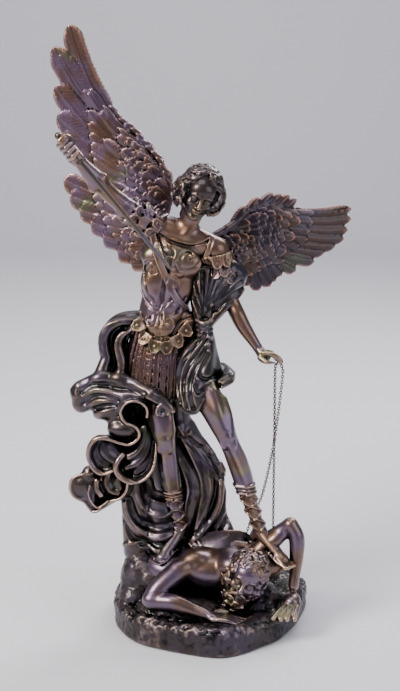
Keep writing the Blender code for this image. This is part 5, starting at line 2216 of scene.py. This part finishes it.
    def edges(self) -> dict[str, tuple[Path, Path]]:
        """The cloth's free edges and, for each, the line where that fold meets the mass behind.

        Returns:
            Each fold's front and back edge.
        """
        rim = [(-107, -41, 279), (-109, -41, 285), (-107, -42, 292), (-102, -43, 298), (-94, -44, 301),
               (-86, -44, 300), (-79, -44, 295), (-76, -43, 288), (-77, -42, 280)]
        winding = [(-107, -41, 279), (-101, -43, 273), (-92, -44, 270), (-87, -43, 264), (-86, -42, 257),
                   (-91, -42, 250), (-99, -42, 246), (-108, -41, 247), (-118, -40, 250), (-127, -40, 253),
                   (-136, -39, 253), (-143, -38, 249), (-148, -37, 241), (-150, -36, 231), (-148, -35, 222),
                   (-143, -36, 213), (-136, -37, 208), (-127, -38, 208), (-119, -39, 212)]
        lobe = [(-108, -42, 232), (-113, -45, 226), (-116, -46, 218), (-114, -46, 210), (-107, -46, 203),
                (-97, -46, 199), (-86, -46, 200), (-77, -45, 206), (-70, -42, 216), (-67, -38, 230),
                (-66, -32, 246)]
        tail = [(-150, -24, 204), (-158, -22, 202), (-166, -22, 200), (-172, -22, 195), (-174, -22, 185),
                (-171, -22, 176), (-165, -23, 171), (-157, -24, 168), (-151, -25, 161), (-147, -26, 156),
                (-141, -28, 156), (-136, -28, 160), (-126, -28, 169), (-119, -29, 171), (-111, -30, 174),
                (-104, -30, 183), (-102, -30, 194)]
        behind = {"rim": [(-100, -2, 282), (-102, -2, 287), (-100, -2, 291), (-97, -2, 294), (-93, -2, 295),
                          (-88, -2, 294), (-84, -2, 291), (-82, -2, 287), (-83, -2, 282)],
                  "winding": [(-112, -18, 276), (-111, -12, 268), (-109, -6, 262), (-106, 0, 257),
                              (-104, 4, 252), (-106, 6, 248), (-109, 8, 245), (-113, 8, 245), (-118, 8, 246),
                              (-123, 8, 246), (-127, 8, 244), (-130, 6, 240), (-131, 4, 235), (-131, 4, 229),
                              (-129, 4, 224), (-126, 4, 219), (-122, 4, 217), (-118, 4, 217), (-114, 4, 219)],
                  "lobe": [(-98, 4, 232), (-100, 4, 226), (-100, 4, 219), (-98, 4, 213), (-95, 4, 209),
                           (-90, 4, 207), (-85, 4, 208), (-81, 4, 212), (-78, 6, 220), (-75, 8, 232),
                           (-73, 8, 246)], "tail": [(-118, 12, 214), (-122, 12, 212), (-126, 12, 208),
                                                    (-129, 12, 202), (-130, 12, 194), (-128, 12, 188),
                                                    (-125, 12, 182), (-121, 12, 177), (-117, 12, 172),
                                                    (-113, 12, 168), (-109, 12, 166), (-105, 12, 166),
                                                    (-101, 12, 168), (-98, 12, 171), (-95, 12, 175),
                                                    (-92, 12, 182), (-90, 12, 190)]}
        return {"rim": (rim, behind["rim"]), "winding": (winding, behind["winding"]),
                "lobe": (lobe, behind["lobe"]), "tail": (tail, behind["tail"])}

    def bowls(self, clay: Block) -> None:
        """The cupped folds behind the winding hem.

        Args:
            clay: the block to press them into.
        """
        for centre, radii in (((-106, -26, 262), (20, 13, 12)), ((-124, -12, 231), (19, 16, 17)),
                              ((-90, -14, 220), (19, 16, 19)), ((-157, -15, 186), (15, 9, 15)),
                              ((-148, -17, 168), (8, 8, 12)), ((-124, -8, 186), (22, 13, 17)),
                              ((-150, -16, 204), (8, 8, 8)), ((-78, -10, 250), (16, 14, 22))):
            clay.ball(centre, radii, soft=7)
        for path, r in (([(-80, -22, 262), (-83, -26, 246), (-90, -30, 234), (-100, -32, 228)], 4.5),
                        ([(-74, -20, 256), (-76, -24, 240), (-82, -28, 227), (-92, -30, 218),
                          (-103, -31, 214)], 4.2), ([(-70, -20, 244), (-73, -24, 227), (-81, -28, 213),
                                                     (-92, -29, 206)], 3.6),
                        ([(-142, -22, 242), (-142, -23, 230), (-136, -24, 219), (-126, -26, 213)], 4.0),
                        ([(-132, -22, 244), (-132, -24, 233), (-126, -25, 225), (-117, -27, 220)], 4.0),
                        ([(-121, -22, 243), (-119, -24, 235), (-113, -26, 229)], 3.6),
                        ([(-140, -22, 194), (-140, -23, 184), (-135, -23, 176)], 3.6),
                        ([(-126, -18, 202), (-128, -20, 191), (-123, -21, 181), (-114, -22, 178)], 3.6),
                        ([(-112, -18, 204), (-114, -19, 194), (-111, -20, 185)], 3.4)):
            clay.limb([(*p, r) for p in path], 5.0)
        made = Loft()
        for front, back in self.edges().values():
            middle = [tuple(np.array(a) * 0.6 + np.array(b) * 0.4 + (0, -2, 0)) for a, b in zip(front, back)]
            made.sheet([front, middle, back], self.thick)
        clay.shells(made, 2.5)

    def hems(self, clay: Block) -> None:
        """The thin edges of the folds, with the cloth turned toward the viewer beside them.

        Args:
            clay: the block to press them into.
        """
        for name, (front, _) in self.edges().items():
            clay.limb([(x, y + 0.5, z, self.hem) for x, y, z in front], 1.2)
        winding, lobe = self.edges()["winding"][0], self.edges()["lobe"][0]
        clay.limb([(x + 1.5, y + 3.5, z + 0.5, 3.6) for x, y, z in winding[9:17]], 2.5)
        clay.limb([(x + 1.0, y + 3.5, z + 0.5, 3.6) for x, y, z in lobe[:6]], 2.5)
        clay.limb([(-148, -29, 190, 1.4), (-150, -30, 182, 1.4), (-148, -30, 173, 1.4), (-143, -30, 165, 1.4),
                   (-138, -30, 162, 1.4), (-132, -30, 166, 1.4), (-126, -30, 171, 1.4)], 1.6)
        curl = [(-58 + 7.5 * math.cos(a), -45, 289 + 8 * math.sin(a)) for a in np.linspace(-0.6, 3.9, 12)]
        clay.ball((-59, -36, 288), (9.5, 9.5, 10), soft=4)
        clay.limb([(*p, 1.5) for p in curl], 1.0)
        clay.ball((-59, -48, 288), (5, 6, 5.5), soft=1.5, carve=True)
        drop = [(-76, -36, 200), (-75, -38, 193), (-71, -39, 188), (-66, -39, 188), (-62, -38, 193),
                (-63, -36, 201)]
        clay.ball((-69, -30, 197), (9, 9, 9), soft=4)
        clay.limb([(*p, 1.6) for p in drop], 1.2)


@dataclass
class Demon(Sculpture):
    """The beaten demon's back and arms."""

    name: str = "demon_body"
    finish: BronzeFinish = FLESH

    def block(self) -> Block:
        """The back, both arms and both hands.

        Returns:
            The clay.
        """
        clay = Block((-98, -100, 22), (128, 44, 156), 1.2)
        clay.ball((-4, -18, 80), (40, 32, 25), (0, 8, -10))
        clay.ball((-48, 0, 72), (38, 32, 23), (0, 12, -10), 6)
        clay.ball((24, -26, 86), (26, 24, 22), (0, 10, -10), 6)
        clay.ball((66, -16, 84), (28, 22, 21), soft=6)
        clay.ball((26, -40, 90), (17, 17, 16), soft=5)
        clay.limb([(-20, -26, 92, 15), (-44, -42, 81, 13.5), (-64, -53, 66, 12.5), (-73, -59, 54, 11)], 5)
        clay.ball((-34, -38, 86), (17, 11, 11), (0, 20, 20), 4)
        clay.ball((-18, -30, 96), (16, 14, 11), (0, 10, 0), 5)
        clay.limb([(-73, -59, 52, 10), (-50, -66, 54, 11), (-34, -69, 50, 10), (-20, -72, 46, 8),
                   (-3, -78, 42, 6.6)], 4)
        clay.ball((-42, -70, 55), (14, 7, 7), (0, 12, 0), 4)
        clay.ball((6, -81, 39), (11, 10, 6), (0, 12, 0), 3)
        for k in range(4):
            clay.limb([(8, -88 + 5.4 * k, 40, 3.5), (20, -90 + 6 * k, 39, 3.3),
                       (30 + k, -90 + 6.4 * k, 35, 3.0), (39 + 2 * k, -88 + 6.8 * k, 31, 2.7)], 0.7)
        clay.limb([(2, -76, 42, 4), (12, -70, 44, 3.6), (20, -68, 42, 3.0)], 1.2)
        clay.limb([(58, -14, 96, 13), (74, -12, 112, 12.5), (88, -13, 124, 11), (98, -16, 134, 9.5)], 5)
        clay.ball((78, -20, 114), (16, 8, 9), (0, -42, 0), 4)
        clay.limb([(100, -18, 136, 9), (107, -20, 120, 10), (107, -24, 98, 9), (105, -30, 78, 7),
                   (103, -35, 62, 6.4)], 4)
        clay.ball((100, -44, 48), (11.5, 15, 9), soft=4)
        for x, end, drop in ((92, 76, 0), (97, 85, 1), (102, 93, 1), (107, 102, 1)):
            clay.limb([(x, -54, 45, 4.1), ((x + end) / 2, -64, 41, 3.9), (end, -72, 35 - drop, 3.3)], 1.5)
        for path in ([(-40, 10, 92), (-10, 4, 103), (20, -4, 106), (44, -8, 104)],
                     [(-36, 24, 88), (-8, 20, 98), (22, 12, 104), (46, 8, 104)]):
            clay.limb([(*p, 6) for p in path], 6)
        for k in range(5):
            x = -34 + 13 * k
            clay.limb([(x, -4, 100, 2.6), (x + 4, -24, 96, 2.8), (x + 6, -40, 84, 2.4)], 4)
        return clay


@dataclass
class DemonCloth(Sculpture):
    """The crumpled cloth across the demon's shoulders."""

    name: str = "demon_cloth"
    finish: BronzeFinish = CLOTH

    def block(self) -> Block:
        """A sheet with crumpled ridges over it.

        Returns:
            The clay.
        """
        clay = Block((-40, -20, 76), (66, 34, 138), 1.1)
        made = Loft()
        made.sheet([[(-24, 12, 108), (-8, 8, 115), (10, 5, 119), (26, 4, 121), (42, 7, 118), (54, 12, 108)],
                    [(-28, 2, 99), (-10, -3, 106), (8, -6, 110), (24, -6, 112), (40, -3, 109), (54, 4, 101)],
                    [(-30, -8, 88), (-12, -12, 95), (6, -14, 99), (24, -14, 100), (40, -9, 98), (54, 0, 91)]],
                   4)
        clay.shells(made, 1)
        rng = np.random.default_rng(SEED + 8)
        for k in range(20):
            x = -27 + 4.0 * k
            rise = 11 * math.sin(math.pi * (k + 0.5) / 20) + rng.uniform(-1.5, 1.5)
            bend = rng.uniform(-4, 4)
            clay.limb([(x - 3, 8, 103 + rise, 1.6), (x + bend, 1, 102 + rise, 2.3),
                       (x + 4, -6, 98 + 0.8 * rise, 2.1), (x + 8 - bend, -13, 91 + 0.7 * rise, 1.5)], 1.0)
        return clay


@dataclass
class Rock(Sculpture):
    """The rough slab and the boulders on it.

    Attributes:
        width: the slab's size across.
        depth: its size from front to back.
        thickness: its height.
    """

    name: str = "rock_base"
    finish: BronzeFinish = ROCK
    width: float = 250.0
    depth: float = 222.0
    thickness: float = 30.0

    def outline(self, angle: np.ndarray) -> np.ndarray:
        """How far the slab reaches at each angle.

        Args:
            angle: angles about the slab's middle.

        Returns:
            Distances in millimetres.
        """
        shares = [(0.51, 0.29), (0.44, -0.04), (0.35, -0.25), (0.24, -0.37), (0.14, -0.46), (0.02, -0.50),
                  (-0.19, -0.42), (-0.37, -0.30), (-0.47, -0.10), (-0.49, 0.08), (-0.47, 0.32), (-0.33, 0.46),
                  (-0.08, 0.50), (0.18, 0.48), (0.39, 0.44)]
        fine = spline([(x * self.width, y * self.depth, 0) for x, y in shares[-2:] + shares + shares[:3]],
                      400)
        angles = np.unwrap(np.arctan2(fine[:, 1], fine[:, 0]))
        order = np.argsort(angles)
        wanted = np.mod(angle - angles.min(), 2 * math.pi) + angles.min()
        return np.interp(wanted, angles[order], np.hypot(fine[order, 0], fine[order, 1]))

    def block(self) -> Block:
        """The slab, the boulders and the rim's crust.

        Returns:
            The clay.
        """
        clay = Block((-134, -118, -3), (136, 118, 104), 1.75)
        shape = clay.field.shape
        x, y, z = (clay.low[k] + clay.voxel * np.arange(shape[k]) for k in range(3))
        x, y = x[:, None], y[None, :]
        rim = np.hypot(x, y) - self.outline(np.arctan2(y, x))
        bulge = 0.012 * self.width * np.sin(np.clip(z / self.thickness, 0, 1) * math.pi)
        side = rim[..., None] + 0.4 * bulge
        top = np.broadcast_to((np.abs(z - self.thickness / 2) - self.thickness / 2), shape)
        clay.field[:] = np.minimum(-soft_min(-side, -top, 5.0), FAR).astype(np.float32)
        low = np.broadcast_to(-z, shape)
        clay.field[:] = np.maximum(clay.field, low).astype(np.float32)
        for centre, radii, turn in (((-62, 40, 48), (50, 48, 41), (0, 10, 0)),
                                    ((-90, 6, 60), (24, 27, 38), (0, 6, 0)),
                                    ((-72, -8, 62), (20, 18, 19), (0, 0, 20)),
                                    ((5, 45, 50), (58, 43, 37), (0, 0, 0)),
                                    ((70, 40, 38), (46, 46, 25), (0, 0, 15)),
                                    ((98, 5, 34), (22, 32, 19), (0, 0, 0)),
                                    ((-40, 78, 34), (58, 22, 25), (0, 0, 0)),
                                    ((60, -20, 36), (34, 32, 23), (0, 0, 0)),
                                    ((-40, -38, 34), (52, 28, 17), (0, 0, 0)),
                                    ((-96, -6, 38), (20, 24, 18), (0, 20, 0)),
                                    ((10, -86, 30), (30, 14, 7), (0, 0, 0)),
                                    ((66, -62, 30), (24, 20, 8), (0, 0, 20))):
            clay.ball(centre, radii, turn, 5)
        rng = np.random.default_rng(SEED + 6)
        for a in np.radians(np.arange(172, 372, 5)):
            r = float(self.outline(np.array(a))) - rng.uniform(8.0, 11.0)
            clay.ball((r * math.cos(a), r * math.sin(a), self.thickness - 1.5 + rng.uniform(-1, 2.5)),
                      (rng.uniform(8, 12), rng.uniform(6, 8), rng.uniform(4.5, 6.5)),
                      (0, 0, math.degrees(a) + 90), 4)
        clay.field = np.maximum(clay.field, low).astype(np.float32)
        return clay

    def relief(self, points: np.ndarray) -> np.ndarray:
        """Hammered roughness, deepest along the rim and none at the foot.

        Args:
            points: positions on the skin.

        Returns:
            Millimetres along each normal.
        """
        rough = noise(points, 26.0, SEED + 3, 3)
        facets = -np.abs(noise(points, 11.0, SEED + 4, 2))
        hammered = noise(points, 4.2, SEED + 5, 2)
        flat = np.clip((points[:, 2] - 1.0) / 4.0, 0, 1)
        crust = np.clip(1 - np.abs(points[:, 2] - self.thickness - 1) / 9.0, 0, 1)
        return flat * (0.8 * rough + 0.8 * facets + (0.6 + 1.5 * crust) * hammered + 0.2)


@dataclass
class Sword:
    """The short sword in the raised fist.

    Attributes:
        length: over all.
        grip: length of the pommel and grip.
        blade: the blade's width.
        thick: the blade's thickness.
        budget: the most triangles that it may have.
    """

    length: float = 212.0
    grip: float = 40.0
    blade: float = 6.2
    thick: float = 2.6
    budget: int = 14000

    def block(self) -> Block:
        """The sword along +z, its flat toward -y.

        Returns:
            The clay.
        """
        clay = Block((-8, -6, -2), (8, 6, self.length + 2), 0.42)
        clay.ball((0, 0, 4.0), (4.2, 4.2, 4.0))
        clay.ball((0, 0, 0.9), (1.6, 1.6, 1.1), soft=0.5)
        clay.limb([(0, 0, 6, 2.2), (0, 0, self.grip * 0.55, 2.7), (0, 0, self.grip, 2.2)], 0.4)
        for k in range(16):
            z = 9.5 + 1.85 * k
            ring = [(2.35 * math.cos(a), 2.35 * math.sin(a), z + 0.3 * math.sin(a), 0.55)
                    for a in np.linspace(0, 2 * math.pi, 9)]
            clay.limb(ring, 0.2)
        clay.limb([(-3.6, 0, self.grip + 2, 1.5), (0, 0, self.grip + 1.4, 1.6), (3.6, 0, self.grip + 2, 1.5)],
                  0.4)
        clay.ball((0, 0, self.grip + 1.6), (2.6, 2.0, 2.4), soft=0.5)
        z = np.array([self.grip, self.grip + 6, self.length * 0.6, self.length - 16, self.length - 6,
                      self.length - 0.4])
        half = np.array([0.5, 0.5, 0.47, 0.40, 0.22, 0.03]) * self.blade
        rows = np.linspace(self.grip, self.length - 0.4, 120)
        wide = np.interp(rows, z, half)[:, None]
        s = np.linspace(-1, 1, 15)[None, :]
        rise = self.thick / 2 * np.interp(rows, z, [1, 1, 1, 0.85, 0.5, 0.12])[:, None]
        rise = rise * (1 - 0.86 * np.abs(s)) - 0.42 * np.exp(-(s / 0.18) ** 2) * (rows < self.length *
                                                                                  0.72)[:, None]
        x, level = wide * s, np.broadcast_to(rows[:, None], (120, 15))
        made = Loft()
        made.slab(np.stack([x, -rise, level], -1), np.stack([x, rise, level], -1))
        clay.shells(made, 0.3)
        return clay

    def piece(self, around: Surroundings) -> Piece:
        """Builds the sword where the fist holds it.

        Args:
            around: the map of what the casting fills; not used.

        Returns:
            The piece.
        """
        clay = self.block()
        points, faces = lighter(*clay.skin(), self.budget)
        wear_and_light = ridge_wear_and_light(clay, points, 1.2)
        along, across, face = sword_axes()
        move = np.stack([across, -face, along], 1)
        move[:, 0] *= np.sign(np.linalg.det(move))
        points = points @ move.T + np.array(POMMEL_END, float)
        # The blade's ridge value is lifted a little, so it takes more rubbed wear and painted highlight.
        return Piece("sword_blade", Node.SWORD, BLADE, points, faces, np.clip(wear_and_light + 0.12, 0, 1))


@dataclass
class Chain:
    """The loose chain: links turned a quarter from one to the next.

    Attributes:
        pitch: distance from link to link.
        wide: a link's width.
        wire: the wire's thickness.
    """

    pitch: float = 3.4
    wide: float = 4.0
    wire: float = 1.15

    def route(self) -> Path:
        """The chain's run, from the demon's neck up over the hand and down to the demon's arm.

        Returns:
            Its stations.
        """
        up = [(46, 4, 118), (54, 6, 142), (65, 4, 168), (76, -12, 228), (83, -20, 285), (87, -23, 330),
              (86, -23, 338)]
        over = [(84, -22, 343), (81, -21, 342)]
        down = [(78, -20, 336), (78, -19, 280), (78, -17, 200), (78, -14, 128)]
        return up + over + down

    def piece(self, around: Surroundings) -> Piece:
        """Builds every link.

        Args:
            around: unused; a chain shelters nothing.

        Returns:
            The piece.
        """
        fine = spline(self.route(), 1200)
        total = length_of([tuple(p) for p in fine])
        count = int(total / self.pitch)
        middle = spline([tuple(p) for p in fine[::4]], count + 1)
        slots, sides = 16, 8
        turn = np.linspace(0, 2 * math.pi, slots, endpoint=False)
        round_ = np.linspace(0, 2 * math.pi, sides, endpoint=False)
        long_half, wide_half, wire = (self.pitch + self.wire) / 2, (self.wide - self.wire) / 2, self.wire / 2
        ids = np.arange(slots * sides).reshape(slots, sides)
        quads_of_one = np.stack([ids, np.roll(ids, -1, 0), np.roll(np.roll(ids, -1, 0), -1, 1),
                                 np.roll(ids, -1, 1)], -1).reshape(-1, 4)
        points, quads = [], []
        face = np.array([0.0, -1.0, 0.0])
        for k in range(count):
            run = unit(middle[k + 1] - middle[k])
            face = unit(face - run * (run @ face))
            across = np.cross(run, face)
            flat, tall = (across, face) if k % 2 else (face, across)
            ring = (np.cos(turn)[:, None] * run * long_half + np.sin(turn)[:, None] * flat * wide_half)
            out = np.cos(turn)[:, None] * run * wide_half + np.sin(turn)[:, None] * flat * long_half
            out /= np.linalg.norm(out, axis=1, keepdims=True)
            tube = ring[:, None] + wire * (np.cos(round_)[None, :, None] * out[:, None]
                                           + np.sin(round_)[None, :, None] * tall)
            points.append((tube + (middle[k] + middle[k + 1]) / 2).reshape(-1, 3))
            quads.append(quads_of_one + k * slots * sides)
        points, quads = np.concatenate(points), np.concatenate(quads)
        c = points[quads]
        volume = np.einsum("ij,ij->i", c[:, 0], np.cross(c[:, 1], c[:, 2])).sum()
        if volume < 0:
            quads = quads[:, ::-1]
        LOG.info("chain: %d links, %.0f mm", count, total)
        return Piece("chain_links", Node.CHAIN, LINKS, points, quads, np.full(len(points), 0.62))


@dataclass
class Studio:
    """A seamless pale sweep, soft lights and the camera.

    Attributes:
        sweep: the backdrop's colour.
        eye: the camera's place in metres.
        pitch: how far it looks down, in degrees.
        lens: its focal length in millimetres.
        start: how far behind the statue the floor starts to rise, past where any camera stands.
        curve: radius of the rise.
        half: half the sweep's width.
        tall: height of the wall.
    """

    sweep: str = "#d8d8df"
    eye: Point = (-0.013, -1.600, 0.700)
    pitch: float = 12.0
    lens: float = 69.8
    start: float = 3.4
    curve: float = 1.0
    half: float = 4.0
    tall: float = 5.0

    def build(self) -> None:
        """Adds everything that isn't the statue."""
        self.backdrop()
        self.world()
        key = self.light("key", (-1.5, -1.25, 1.8), 1.0, 86.0)
        fill = self.light("fill", (1.7, -1.2, 1.1), 1.4, 15.0)
        self.light("rim", (0.9, 1.3, 1.7), 0.9, 24.0)
        self.light("top", (0.0, -0.2, 2.4), 1.2, 16.0)
        self.light("backdrop_wash", (0.0, 1.5, 2.7), 2.4, 62.0, (0.0, 4.2, 0.1))
        key.data.color = linear("#fff7ef")[:3]
        fill.data.color = linear("#eef0ff")[:3]
        self.camera()

    def backdrop(self) -> None:
        """A floor that curves up into a wall."""
        rise = [(self.start + self.curve * math.sin(a), self.curve * (1 - math.cos(a)))
                for a in np.linspace(0.1, math.pi / 2, 14)]
        profile = [(-self.half, 0.0), (self.start, 0.0), *rise, (self.start + self.curve, self.tall)]
        mesh = bpy.data.meshes.new("sweep")
        verts = [(x, y, z - 0.0004) for y, z in profile for x in (-self.half, self.half)]
        faces = [(2 * k, 2 * k + 1, 2 * k + 3, 2 * k + 2) for k in range(len(profile) - 1)]
        mesh.from_pydata(verts, [], faces)
        mesh.shade_smooth()
        made = bpy.data.objects.new("sweep", mesh)
        bpy.context.scene.collection.objects.link(made)
        paper = bpy.data.materials.new("backdrop_paper")
        paper.use_nodes = True
        shader = paper.node_tree.nodes["Principled BSDF"]
        shader.inputs["Base Color"].default_value = linear(self.sweep)
        shader.inputs["Roughness"].default_value = 0.85
        mesh.materials.append(paper)

    def world(self) -> None:
        """Pale light from all around."""
        world = bpy.data.worlds.new("studio")
        world.use_nodes = True
        back = world.node_tree.nodes["Background"]
        back.inputs["Color"].default_value = linear("#dfe0ea")
        back.inputs["Strength"].default_value = 0.36
        bpy.context.scene.world = world

    def light(self, name: str, place: Point, size: float, power: float,
              aim: Point = (0, 0, 0.36)) -> bpy.types.Object:
        """A soft square lamp.

        Args:
            name: its name.
            place: its position in metres.
            size: the side of its square.
            power: in watts.
            aim: what it points at, the statue's middle unless said otherwise.

        Returns:
            The lamp.
        """
        data = bpy.data.lights.new(name, "AREA")
        data.shape, data.size, data.energy = "SQUARE", size, power
        made = bpy.data.objects.new(name, data)
        made.location = place
        made.rotation_euler = (Vector(aim) - Vector(place)).to_track_quat("-Z", "Y").to_euler()
        bpy.context.scene.collection.objects.link(made)
        return made

    def camera(self) -> None:
        """The photograph's viewpoint."""
        data = bpy.data.cameras.new("camera")
        data.lens, data.sensor_width, data.sensor_fit = self.lens, 36.0, "AUTO"
        made = bpy.data.objects.new("camera", data)
        made.location = self.eye
        made.rotation_euler = (math.radians(90 - self.pitch), 0, 0)
        bpy.context.scene.collection.objects.link(made)
        bpy.context.scene.camera = made


def main() -> None:
    """Sculpts every piece, then gives it its patina and its place."""
    logging.basicConfig(level=logging.INFO, format="%(message)s")
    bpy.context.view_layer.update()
    around = Surroundings()
    makers = [Torso(), AngelHead(), Legs(), Kilt(), sword_side_wing(), chain_side_wing(), Cloak(), Drapery(),
              Demon(), DemonHead(), DemonCloth(), Rock(), Sword(), Chain()]
    pieces = [maker.piece(around) for maker in makers]
    for piece in pieces:
        piece.place(around)
    LOG.info("%d triangles in all", sum(p.triangles() for p in pieces))
    Studio().build()


if __name__ == "__main__":
    main()
